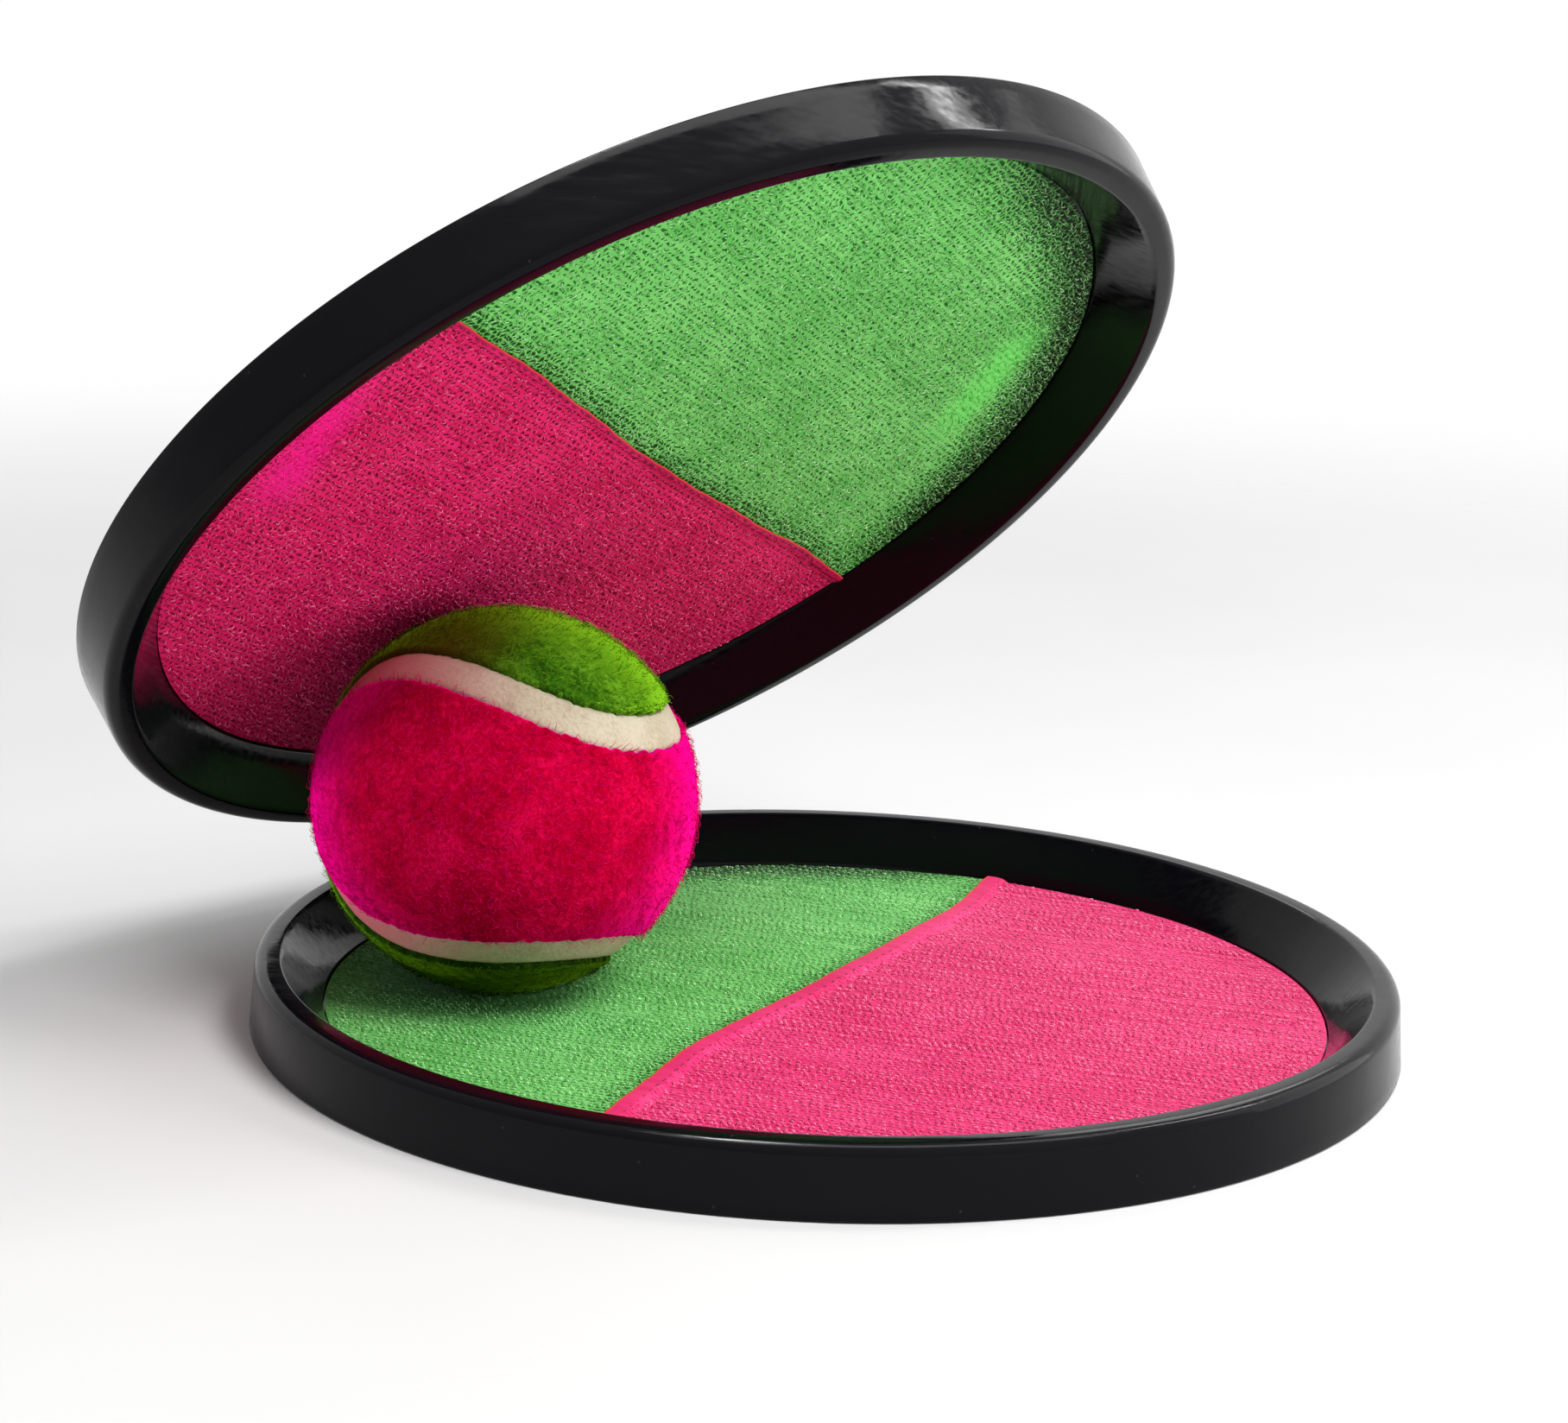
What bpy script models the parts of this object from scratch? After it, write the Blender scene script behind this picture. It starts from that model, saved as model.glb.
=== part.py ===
"""Catch set: two round hand dishes faced with hook fabric and one felt ball held between them.

The lower dish lies face up. The ball stands on its green half, and the upper dish leans
back on the ball, held by its pink half. Each dish is drawn in its own frame, with its back
down, its face up and its hand strap along X, and is then placed as a whole.
"""

import math

import bmesh
import bpy
import numpy as np
from mathutils import Euler, Matrix, Vector

MM = 0.001

# Dish section, with heights measured up from the foot of the skirt
SKIRT_RADIUS = 94.0 * MM
SHOULDER_RADIUS = 93.3 * MM
RIM_HEIGHT = 11.5 * MM
RIM_EDGE_RADIUS = 89.2 * MM
RIM_ROUNDING = 2.15 * MM
WALL = 1.4 * MM
SEAT_RADIUS = 82.2 * MM
PLATE_BOTTOM = 1.4 * MM
PLATE_THICKNESS = 1.1 * MM

# Hand strap, and the slots and pockets that hold its two tails
STRAP_WIDTH = 32.0 * MM
STRAP_THICKNESS = 0.9 * MM
STRAP_OFFSET = 15.0 * MM
STRAP_TAIL = 6.5 * MM
SLOT_INSET = 17.7 * MM
SLOT_WIDTH = 4.5 * MM
SLOT_LENGTH = 64.0 * MM
POCKET_FLOOR = 1.1 * MM
POCKET_CLEARANCE = 0.5 * MM

# Hook fabric, and the hem where the pink half laps over the green half
FABRIC_THICKNESS = 0.8 * MM
HEM_WIDTH = 5.0 * MM
HEM_LAP = 2.5 * MM
HEM_THICKNESS = 0.8 * MM
HEM_WAVE = 0.5 * MM
HEM_WAVE_PITCH = 22.0 * MM

# Course of the hem across each dish, from rim to rim, in its own frame
LOWER_HEM = (
    (-69.7 * MM, 42.8 * MM),
    (-50.7 * MM, 32.3 * MM),
    (-22.8 * MM, 10.9 * MM),
    (1.9 * MM, -8.5 * MM),
    (23.9 * MM, -26.1 * MM),
    (52.3 * MM, -42.4 * MM),
    (65.2 * MM, -49.7 * MM),
)
UPPER_HEM = (
    (-70.5 * MM, 41.7 * MM),
    (-55.6 * MM, 30.9 * MM),
    (-35.4 * MM, 18.6 * MM),
    (-0.3 * MM, -4.0 * MM),
    (34.5 * MM, -29.3 * MM),
    (57.9 * MM, -45.2 * MM),
    (65.0 * MM, -50.0 * MM),
)

# Ball
BALL_RADIUS = 31.5 * MM
FELT_THICKNESS = 3.0 * MM
SEAM_WIDTH = 6.0 * MM
SEAM_RECESS = 0.6 * MM
SEAM_BEND = 0.213
BALL_TURN = (-97.2, 35.6, -130.6)

# Clearances
GAP = 0.3 * MM
BALL_GAP = 0.3 * MM

# Placing, with the middle of the set's footprint at the origin: the lower dish and its turn,
# where the ball stands on it from its centre, the lean of the upper dish and the spot on its
# face that the ball holds
LOWER_CENTRE = (12.1 * MM, 0.0)
LOWER_TURN = -78.9
BALL_FOOT = (-53.4 * MM, -0.6 * MM)
UPPER_LEAN = 135.7
UPPER_HEADING = -48.7
UPPER_SPOT = (19.0 * MM, 43.8 * MM)

# Facets
DISH_SEGMENTS = 90
ROUNDING_STEPS = 4
HEM_STEPS = 48
SEAM_STEPS = 120
BALL_DETAIL = 4
CORE_DETAIL = 3

# Heights that follow from the section
PLATE_TOP = PLATE_BOTTOM + PLATE_THICKNESS
FABRIC_BOTTOM = PLATE_TOP + GAP
FABRIC_TOP = FABRIC_BOTTOM + FABRIC_THICKNESS
FABRIC_RADIUS = SEAT_RADIUS - GAP
HEM_BOTTOM = FABRIC_TOP + GAP
HEM_TOP = HEM_BOTTOM + HEM_THICKNESS
POCKET_DEPTH = STRAP_THICKNESS + GAP
SLOT_MIDDLE = SEAT_RADIUS - SLOT_INSET
SLOT_INNER = SLOT_MIDDLE - SLOT_WIDTH / 2
SLOT_OUTER = SLOT_MIDDLE + SLOT_WIDTH / 2


def clear_scene():
    for old in list(bpy.data.objects):
        bpy.data.objects.remove(old, do_unlink=True)


def make_material(name, colour, roughness):
    made = bpy.data.materials.new(name)
    made.use_nodes = True
    shader = made.node_tree.nodes["Principled BSDF"]
    shader.inputs["Base Color"].default_value = (*colour, 1.0)
    shader.inputs["Roughness"].default_value = roughness
    shader.inputs["Metallic"].default_value = 0.0
    made.diffuse_color = (*colour, 1.0)
    return made


def add_object(name, shape, material=None, place=None):
    """Turn a bmesh into an object of the scene, with its normals facing out."""
    bmesh.ops.recalc_face_normals(shape, faces=shape.faces)
    mesh = bpy.data.meshes.new(name)
    shape.to_mesh(mesh)
    shape.free()
    made = bpy.data.objects.new(name, mesh)
    bpy.context.scene.collection.objects.link(made)
    if material:
        mesh.materials.append(material)
    if place:
        made.matrix_world = place
    return made


def shade_round(made, angle=35.0):
    made.data.shade_smooth()
    made.data.set_sharp_from_angle(angle=math.radians(angle))


def hide_helper(helper):
    helper.hide_render = True
    helper.display_type = "WIRE"
    return helper


def combine(target, helper, operation):
    change = target.modifiers.new(operation.title(), "BOOLEAN")
    change.operation = operation
    change.solver = "EXACT"
    change.object = hide_helper(helper)


def add_prism(shape, outline, low, high, upright=True):
    """Extrude a closed outline: of X and Y up Z, or of X and Z along Y when it isn't upright."""
    if upright:
        ring = [shape.verts.new((x, y, low)) for x, y in outline]
        step = Vector((0, 0, high - low))
    else:
        ring = [shape.verts.new((x, low, z)) for x, z in outline]
        step = Vector((0, high - low, 0))
    base = shape.faces.new(ring)
    raised = bmesh.ops.extrude_face_region(shape, geom=[base], use_keep_orig=True)
    lifted = [item for item in raised["geom"] if isinstance(item, bmesh.types.BMVert)]
    bmesh.ops.translate(shape, verts=lifted, vec=step)


def prism_object(name, outlines, low, high, material=None, place=None, upright=True):
    shape = bmesh.new()
    for outline in outlines:
        add_prism(shape, outline, low, high, upright)
    return add_object(name, shape, material, place)


def box_outline(x_low, x_high, y_low, y_high):
    return [(x_low, y_low), (x_high, y_low), (x_high, y_high), (x_low, y_high)]


def mirrored(outline):
    return [(-x, y) for x, y in reversed(outline)]


def circle_outline(radius, count=DISH_SEGMENTS):
    angles = [2 * math.pi * i / count for i in range(count)]
    return [(radius * math.cos(a), radius * math.sin(a)) for a in angles]


def slot_outline():
    """One slot with rounded ends, its long side along Y."""
    radius = SLOT_WIDTH / 2
    straight = SLOT_LENGTH / 2 - radius
    outline = []
    for i in range(9):
        a = math.pi * i / 8
        outline.append((SLOT_MIDDLE + radius * math.cos(a), straight + radius * math.sin(a)))
    for i in range(9):
        a = math.pi + math.pi * i / 8
        outline.append((SLOT_MIDDLE + radius * math.cos(a), -straight + radius * math.sin(a)))
    return outline


def dish_profile():
    """Half section of the moulded dish, from the axis over the face, round the rim and back."""
    slope = Vector((RIM_EDGE_RADIUS - SEAT_RADIUS, RIM_HEIGHT - FABRIC_TOP)).normalized()
    behind = Vector((slope.y, -slope.x)) * WALL
    profile = [(0.0, PLATE_TOP), (SEAT_RADIUS, PLATE_TOP)]
    profile += [(SEAT_RADIUS, FABRIC_TOP), (RIM_EDGE_RADIUS, RIM_HEIGHT)]
    centre = (SHOULDER_RADIUS - RIM_ROUNDING, RIM_HEIGHT - RIM_ROUNDING)
    for i in range(ROUNDING_STEPS + 1):
        a = math.pi / 2 * (1 - i / ROUNDING_STEPS)
        x = centre[0] + RIM_ROUNDING * math.cos(a)
        z = centre[1] + RIM_ROUNDING * math.sin(a)
        profile.append((x, z))
    profile.append((SKIRT_RADIUS, 0.0))
    profile.append((SKIRT_RADIUS - WALL, 0.0))
    profile.append((SHOULDER_RADIUS - WALL, centre[1]))
    under = RIM_HEIGHT - WALL
    profile.append((SHOULDER_RADIUS - WALL - RIM_ROUNDING / 5, under))
    for height in (under, PLATE_BOTTOM):
        climb = height - FABRIC_TOP - behind.y
        profile.append((SEAT_RADIUS + behind.x + climb * slope.x / slope.y, height))
    profile.append((0.0, PLATE_BOTTOM))
    return profile


def make_dish(name, material, place):
    shape = bmesh.new()
    chain = [shape.verts.new((r, 0.0, z)) for r, z in dish_profile()]
    for first, second in zip(chain, chain[1:]):
        shape.edges.new((first, second))
    mesh = bpy.data.meshes.new(name)
    shape.to_mesh(mesh)
    shape.free()
    mesh.materials.append(material)
    dish = bpy.data.objects.new(name, mesh)
    bpy.context.scene.collection.objects.link(dish)
    dish.matrix_world = place
    turn = dish.modifiers.new("Turn", "SCREW")
    turn.axis = "Z"
    turn.angle = 2 * math.pi
    turn.steps = turn.render_steps = DISH_SEGMENTS
    turn.use_merge_vertices = True
    turn.merge_threshold = 0.00001
    turn.use_smooth_shade = True

    # Under each tail the plate steps down into a shallow pocket, so that the tail lies flush
    near = SLOT_OUTER - SLOT_WIDTH / 4
    end = SLOT_OUTER + STRAP_TAIL + POCKET_CLEARANCE
    low = STRAP_OFFSET - STRAP_WIDTH / 2 - POCKET_CLEARANCE
    high = STRAP_OFFSET + STRAP_WIDTH / 2 + POCKET_CLEARANCE
    floor = PLATE_TOP - POCKET_DEPTH
    under = floor - POCKET_FLOOR
    over = PLATE_TOP + WALL
    step = box_outline(near, end + POCKET_FLOOR, low - POCKET_FLOOR, high + POCKET_FLOOR)
    pocket = box_outline(near, end, low, high)
    changes = (
        ("steps", "UNION", step, under, PLATE_TOP - PLATE_THICKNESS / 2),
        ("pockets", "DIFFERENCE", pocket, floor, over),
        ("slots", "DIFFERENCE", slot_outline(), under - WALL, over),
    )
    for label, operation, outline, bottom, top in changes:
        pair = [outline, mirrored(outline)]
        combine(dish, prism_object(f"{name}.{label}", pair, bottom, top, place=place), operation)
    even = dish.modifiers.new("Even shading", "WEIGHTED_NORMAL")
    even.keep_sharp = True


def make_strap(name, material, place):
    """Flat elastic band across the back, rising through both slots into the pockets."""
    back = PLATE_BOTTOM - GAP - STRAP_THICKNESS / 2
    front = PLATE_TOP - STRAP_THICKNESS / 2
    start, stop = SLOT_INNER + SLOT_WIDTH / 8, SLOT_OUTER - SLOT_WIDTH / 8
    path = []
    for i in range(9):
        s = i / 8
        path.append(Vector((start + (stop - start) * s, back + (front - back) * s * s * (3 - 2 * s))))
    path.append(Vector((SLOT_OUTER + STRAP_TAIL, front)))
    path = [Vector((-p.x, p.y)) for p in reversed(path)] + path
    upper, lower = [], []
    for i, point in enumerate(path):
        along = (path[min(i + 1, len(path) - 1)] - path[max(i - 1, 0)]).normalized()
        across = Vector((-along.y, along.x)) * STRAP_THICKNESS / 2
        upper.append(tuple(point + across))
        lower.append(tuple(point - across))
    outline = lower + upper[::-1]
    low, high = STRAP_OFFSET - STRAP_WIDTH / 2, STRAP_OFFSET + STRAP_WIDTH / 2
    return prism_object(name, [outline], low, high, material, place, upright=False)


def hem_course(points):
    """Smooth course through the hem's points: its places, the way to the pink half, its lengths."""
    points = np.array(points)
    ends = np.vstack([2 * points[0] - points[1], points, 2 * points[-1] - points[-2]])
    places = []
    for k in range(len(points) - 1):
        a, b, c, d = ends[k : k + 4]
        for s in np.linspace(0, 1, HEM_STEPS // (len(points) - 1), endpoint=False):
            bend = (2 * a - 5 * b + 4 * c - d) * s**2 + (3 * b - a - 3 * c + d) * s**3
            places.append(0.5 * (2 * b + (c - a) * s + bend))
    places.append(points[-1])
    places = np.array(places)
    along = np.gradient(places, axis=0)
    along /= np.linalg.norm(along, axis=1)[:, None]
    pinkward = np.column_stack([-along[:, 1], along[:, 0]])
    lengths = np.linalg.norm(np.diff(places, axis=0), axis=1)
    return places, pinkward, np.concatenate([[0.0], np.cumsum(lengths)])


def half_outline(course, offset, side):
    """Outline that covers all of one side of the line that runs beside the hem."""
    places, pinkward, _ = course
    line = places + pinkward * offset
    reach = SKIRT_RADIUS * 2
    before, after = line[0] - line[1], line[-1] - line[-2]
    first = line[0] + before / np.linalg.norm(before) * reach / 4
    last = line[-1] + after / np.linalg.norm(after) * reach / 4
    away = pinkward.mean(axis=0) * reach * side
    return [tuple(p) for p in np.vstack([first, line, last, last + away, first + away])]


def strip_outline(course, near, far, wave=0.0):
    """Outline of a strip beside the hem's edge that stops just short of the dish's wall."""
    places, pinkward, distance = course
    inside = np.linalg.norm(places, axis=1) < FABRIC_RADIUS - HEM_THICKNESS
    places, pinkward, distance = places[inside], pinkward[inside], distance[inside]
    ripple = wave * np.sin(2 * math.pi * distance / HEM_WAVE_PITCH)
    edge = places + pinkward * (near + ripple)[:, None]
    back = places + pinkward * far
    return [tuple(p) for p in np.vstack([edge, back[::-1]])]


def make_half(name, course, offset, side, material, place):
    disc = circle_outline(FABRIC_RADIUS)
    half = prism_object(name, [disc], FABRIC_BOTTOM, FABRIC_TOP, material, place)
    outline = half_outline(course, offset, side)
    cover = prism_object(name + ".side", [outline], FABRIC_BOTTOM - WALL, HEM_TOP + WALL, place=place)
    combine(half, cover, "INTERSECT")
    return half


def make_fabric(name, points, green, pink, place):
    """Two halves that meet under the hem, where the pink one folds up and laps over the green."""
    course = hem_course(points)
    make_half(name + "_green_fabric", course, HEM_LAP - GAP / 2, -1, green, place)
    half = make_half(name + "_pink_fabric", course, HEM_LAP + GAP / 2, 1, pink, place)
    riser = strip_outline(course, HEM_LAP + GAP, HEM_WIDTH - GAP)
    lap = strip_outline(course, 0.0, HEM_WIDTH, HEM_WAVE)
    changes = (
        ("riser", riser, FABRIC_TOP - FABRIC_THICKNESS / 2, HEM_TOP - HEM_THICKNESS / 2),
        ("lap", lap, HEM_BOTTOM, HEM_TOP),
    )
    for label, outline, bottom, top in changes:
        combine(half, prism_object(f"{name}.{label}", [outline], bottom, top, place=place), "UNION")


def seam_frame():
    """The seam's closed course on a unit ball, and the direction across it towards the green felt."""
    t = np.linspace(0, 2 * math.pi, SEAM_STEPS, endpoint=False)
    wide, narrow = 1 - SEAM_BEND, SEAM_BEND
    rise = 2 * math.sqrt(wide * narrow)
    x = wide * np.cos(t) + narrow * np.cos(3 * t)
    y = wide * np.sin(t) - narrow * np.sin(3 * t)
    course = np.column_stack([x, y, rise * np.sin(2 * t)])
    along = np.roll(course, -1, axis=0) - np.roll(course, 1, axis=0)
    across = np.cross(along, course)
    across /= np.linalg.norm(across, axis=1)[:, None]
    return course, across


def make_band(name, half_width, inner, outer, material=None, place=None):
    """Closed band that follows the seam round the ball."""
    course, across = seam_frame()
    widths = np.linspace(-half_width, half_width, 5)
    section = [(w, outer) for w in widths] + [(w, inner) for w in (half_width, 0.0, -half_width)]
    shape = bmesh.new()
    rings = []
    for w, radius in section:
        angle = w / BALL_RADIUS
        points = (course * math.cos(angle) + across * math.sin(angle)) * radius
        rings.append([shape.verts.new(p) for p in points])
    for near, far in zip(rings, rings[1:] + rings[:1]):
        for i in range(SEAM_STEPS):
            j = (i + 1) % SEAM_STEPS
            shape.faces.new((near[i], near[j], far[j], far[i]))
    return add_object(name, shape, material, place)


def make_sphere(name, radius, detail, material=None, place=None):
    shape = bmesh.new()
    bmesh.ops.create_icosphere(shape, subdivisions=detail, radius=radius)
    ball = add_object(name, shape, material, place)
    ball.data.shade_smooth()
    return ball


def islands_of(shape):
    """Groups of faces that hang together."""
    left = set(shape.faces)
    while left:
        group, front = set(), [left.pop()]
        while front:
            face = front.pop()
            group.add(face)
            for edge in face.edges:
                for other in edge.link_faces:
                    if other in left:
                        left.remove(other)
                        front.append(other)
        yield group


def make_felt(green, pink, place):
    """A felt shell that the seam's groove parts into two curved panels."""
    shell = make_sphere("felt_shell", BALL_RADIUS, BALL_DETAIL)
    thicken = shell.modifiers.new("Thicken", "SOLIDIFY")
    thicken.thickness = FELT_THICKNESS
    thicken.offset = -1
    inner, outer = BALL_RADIUS - 2 * FELT_THICKNESS, BALL_RADIUS + FELT_THICKNESS
    groove = make_band("felt_groove", SEAM_WIDTH / 2 + GAP, inner, outer)
    combine(shell, groove, "DIFFERENCE")
    bpy.context.view_layer.update()
    graph = bpy.context.evaluated_depsgraph_get()
    parted = bpy.data.meshes.new_from_object(shell.evaluated_get(graph))
    bpy.data.objects.remove(shell, do_unlink=True)
    bpy.data.objects.remove(groove, do_unlink=True)
    course, across = seam_frame()
    whole = bmesh.new()
    whole.from_mesh(parted)
    groups = list(islands_of(whole))
    for group in groups:
        corners = {v: None for face in group for v in face.verts}
        centre = np.mean([v.co.normalized() for v in corners], axis=0)
        nearest = (course @ centre).argmax()
        is_green = float(across[nearest] @ centre) > 0
        name, material = ("ball_green_felt", green) if is_green else ("ball_pink_felt", pink)
        panel = bmesh.new()
        copies = {v: panel.verts.new(v.co) for v in corners}
        for face in group:
            panel.faces.new([copies[v] for v in face.verts])
        made = add_object(name, panel, material, place)
        shade_round(made, 50.0)
    whole.free()


def main():
    clear_scene()
    bpy.context.scene.unit_settings.scale_length = 1.0
    black = make_material("black_plastic", (0.012, 0.012, 0.013), 0.22)
    green = make_material("green_hook_fabric", (0.10, 0.46, 0.12), 0.75)
    pink = make_material("pink_hook_fabric", (0.80, 0.02, 0.16), 0.75)
    webbing = make_material("black_elastic", (0.02, 0.02, 0.022), 0.85)
    green_felt = make_material("green_felt", (0.10, 0.30, 0.02), 0.95)
    pink_felt = make_material("pink_felt", (0.75, 0.01, 0.12), 0.95)
    rubber = make_material("seam_rubber", (0.75, 0.62, 0.42), 0.8)
    core_rubber = make_material("core_rubber", (0.05, 0.05, 0.05), 0.8)

    lower_centre = Vector((*LOWER_CENTRE, 0.0))
    lower_turn = Matrix.Rotation(math.radians(LOWER_TURN), 4, "Z")
    lower_place = Matrix.Translation(lower_centre) @ lower_turn
    ball_centre = lower_centre + Vector((*BALL_FOOT, FABRIC_TOP + BALL_GAP + BALL_RADIUS))
    heading = Matrix.Rotation(math.radians(UPPER_HEADING - 90), 4, "Z")
    turned = heading @ Matrix.Rotation(math.radians(-UPPER_LEAN), 4, "X")
    reach = Vector((*UPPER_SPOT, FABRIC_TOP + BALL_GAP + BALL_RADIUS))
    upper_place = Matrix.Translation(ball_centre - turned @ reach) @ turned

    dishes = (("lower", LOWER_HEM, lower_place), ("upper", UPPER_HEM, upper_place))
    for name, points, place in dishes:
        make_dish(name + "_dish", black, place)
        make_strap(name + "_strap", webbing, place)
        make_fabric(name, points, green, pink, place)

    ball_turn = Euler([math.radians(a) for a in BALL_TURN], "XYZ").to_matrix().to_4x4()
    ball_place = Matrix.Translation(ball_centre) @ ball_turn
    felt_back = BALL_RADIUS - FELT_THICKNESS
    seam_top = BALL_RADIUS - SEAM_RECESS
    make_sphere("ball_core", felt_back - GAP, CORE_DETAIL, core_rubber, ball_place)
    seam = make_band("ball_seam", SEAM_WIDTH / 2, felt_back, seam_top, rubber, ball_place)
    shade_round(seam, 50.0)
    make_felt(green_felt, pink_felt, ball_place)


main()
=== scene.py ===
"""Looks of the catch set: moulded dishes, hook fabric with its hems, hand straps and the felt ball."""

import math

import bmesh
import bpy
import numpy as np
from mathutils import Euler, Matrix, Vector


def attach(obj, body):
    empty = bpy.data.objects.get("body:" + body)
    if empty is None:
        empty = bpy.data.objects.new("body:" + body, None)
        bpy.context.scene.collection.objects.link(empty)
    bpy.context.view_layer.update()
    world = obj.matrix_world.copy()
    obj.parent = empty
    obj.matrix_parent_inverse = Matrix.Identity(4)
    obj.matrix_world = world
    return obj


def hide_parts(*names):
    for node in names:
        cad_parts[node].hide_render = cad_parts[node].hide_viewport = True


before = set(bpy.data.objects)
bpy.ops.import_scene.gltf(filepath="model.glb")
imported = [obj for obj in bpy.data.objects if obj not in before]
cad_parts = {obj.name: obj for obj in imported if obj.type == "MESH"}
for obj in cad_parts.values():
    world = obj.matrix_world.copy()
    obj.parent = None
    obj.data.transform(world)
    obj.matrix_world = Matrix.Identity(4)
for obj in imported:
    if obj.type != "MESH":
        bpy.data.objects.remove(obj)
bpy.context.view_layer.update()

MM = 0.001

# Sizes that the solids have too: the dish section, the strap, the fabric and the ball
SKIRT_RADIUS, SHOULDER_RADIUS, RIM_HEIGHT = 94.0 * MM, 93.3 * MM, 11.5 * MM
RIM_EDGE_RADIUS, RIM_ROUNDING, WALL = 89.2 * MM, 2.15 * MM, 1.4 * MM
SEAT_RADIUS, PLATE_BOTTOM, PLATE_TOP = 82.2 * MM, 1.4 * MM, 2.5 * MM
STRAP_WIDTH, STRAP_THICKNESS, STRAP_OFFSET, STRAP_TAIL = 32.0 * MM, 0.9 * MM, 15.0 * MM, 6.5 * MM
SLOT_SPACING, SLOT_WIDTH, SLOT_LENGTH = 129.0 * MM, 4.5 * MM, 64.0 * MM
POCKET_DEPTH, POCKET_FLOOR, POCKET_CLEARANCE = 1.2 * MM, 1.1 * MM, 0.5 * MM
FABRIC_RADIUS, FABRIC_TOP = 81.9 * MM, 3.6 * MM
BALL_RADIUS, FELT_THICKNESS, SEAM_WIDTH, SEAM_BEND = 31.5 * MM, 3.0 * MM, 6.0 * MM, 0.213
GAP = 0.3 * MM

# Course of each hem across its dish, in millimetres
LOWER_HEM = (
    (-69.7, 42.8), (-50.7, 32.3), (-22.8, 10.9), (1.9, -8.5), (23.9, -26.1), (52.3, -42.4), (65.2, -49.7)
)
UPPER_HEM = (
    (-70.5, 41.7), (-55.6, 30.9), (-35.4, 18.6), (-0.3, -4.0), (34.5, -29.3), (57.9, -45.2), (65.0, -50.0)
)

# The fabric in the dish: heights of its backing and its folded hem, and how far green runs under pink
CLOTH_BOTTOM, CLOTH_TOP = 2.55 * MM, 3.25 * MM
HEM_TOP, HEM_UNDER, HEM_LAP = 4.0 * MM, 3.38 * MM, 2.2 * MM

# Hooks: their spacing along and across the rows, and one hook's length and thickness
HOOK_PITCH, HOOK_ROW = 1.24 * MM, 1.13 * MM
HOOK_LENGTH, HOOK_STRAND = 0.72 * MM, 0.11 * MM

# How finely the surfaces are divided
DISH_TURNS, CLOTH_SECTIONS, PANEL_ARCS, SEAM_STEPS = 300, 240, 300, 420

# Places of the two dishes and the ball
LOWER_PLACE = Matrix.Translation((12.1 * MM, 0, 0)) @ Matrix.Rotation(math.radians(-78.9), 4, "Z")
BALL_CENTRE = Vector((12.1 * MM - 53.4 * MM, -0.6 * MM, FABRIC_TOP + GAP + BALL_RADIUS))
LEAN = Matrix.Rotation(math.radians(-48.7 - 90), 4, "Z") @ Matrix.Rotation(math.radians(-135.7), 4, "X")
HELD_SPOT = Vector((19.0 * MM, 43.8 * MM, FABRIC_TOP + GAP + BALL_RADIUS))
UPPER_PLACE = Matrix.Translation(BALL_CENTRE - LEAN @ HELD_SPOT) @ LEAN
BALL_EULER = Euler([math.radians(a) for a in (-97.2, 35.6, -130.6)], "XYZ")
BALL_PLACE = Matrix.Translation(BALL_CENTRE) @ BALL_EULER.to_matrix().to_4x4()


# Materials

def linear(code):
    """An sRGB hex colour as the linear values that a shader takes."""
    parts = np.array([int(code[i : i + 2], 16) for i in (1, 3, 5)]) / 255
    values = np.where(parts <= 0.04045, parts / 12.92, ((parts + 0.055) / 1.055) ** 2.4)
    return (*values.tolist(), 1.0)


def feed(tree, socket, value):
    """Set a socket to a number, a vector or a hex colour, or link it to a socket or a node's first output."""
    if isinstance(value, bpy.types.Node):
        value = value.outputs[0]
    if isinstance(value, bpy.types.NodeSocket):
        tree.links.new(value, socket)
    else:
        socket.default_value = linear(value) if isinstance(value, str) else value


def node(tree, kind, inputs=None, **settings):
    """Add a node, set what it holds, and feed its sockets by name or number."""
    made = tree.nodes.new("ShaderNode" + kind)
    for name, value in settings.items():
        setattr(made, name, value)
    for name, value in (inputs or {}).items():
        feed(tree, made.inputs[name], value)
    return made


def new_material(name, roughness, ior=1.45, **sockets):
    """A material whose shader holds these constants, each named after its socket."""
    made = bpy.data.materials.new(name)
    made.use_nodes = True
    tree = made.node_tree
    shader = tree.nodes["Principled BSDF"]
    for label, value in {"Roughness": roughness, "IOR": ior, **sockets}.items():
        feed(tree, shader.inputs[label.replace("_", " ")], value)
    return made, tree, shader


def ramp(tree, factor, stops):
    """A colour ramp through (position, hex colour) stops."""
    made = node(tree, "ValToRGB", {"Fac": factor})
    elements = made.color_ramp.elements
    while len(elements) < len(stops):
        elements.new(0.5)
    for element, (position, code) in zip(elements, stops):
        element.position = position
        element.color = linear(code)
    return made.outputs["Color"]


def mix(tree, factor, first, second):
    """The colour between two hex colours or colour sockets."""
    made = node(tree, "Mix", {"Factor": factor}, data_type="RGBA")
    for label, value in (("A", first), ("B", second)):
        feed(tree, next(s for s in made.inputs if s.name == label and s.type == "RGBA"), value)
    return next(s for s in made.outputs if s.type == "RGBA")


def both(tree, *ranges):
    """The product of two smooth steps, each told by the inputs of its Map Range."""
    first, second = (node(tree, "MapRange", one, interpolation_type="SMOOTHSTEP") for one in ranges)
    return node(tree, "Math", {0: first, 1: second}, operation="MULTIPLY").outputs[0]


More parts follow.
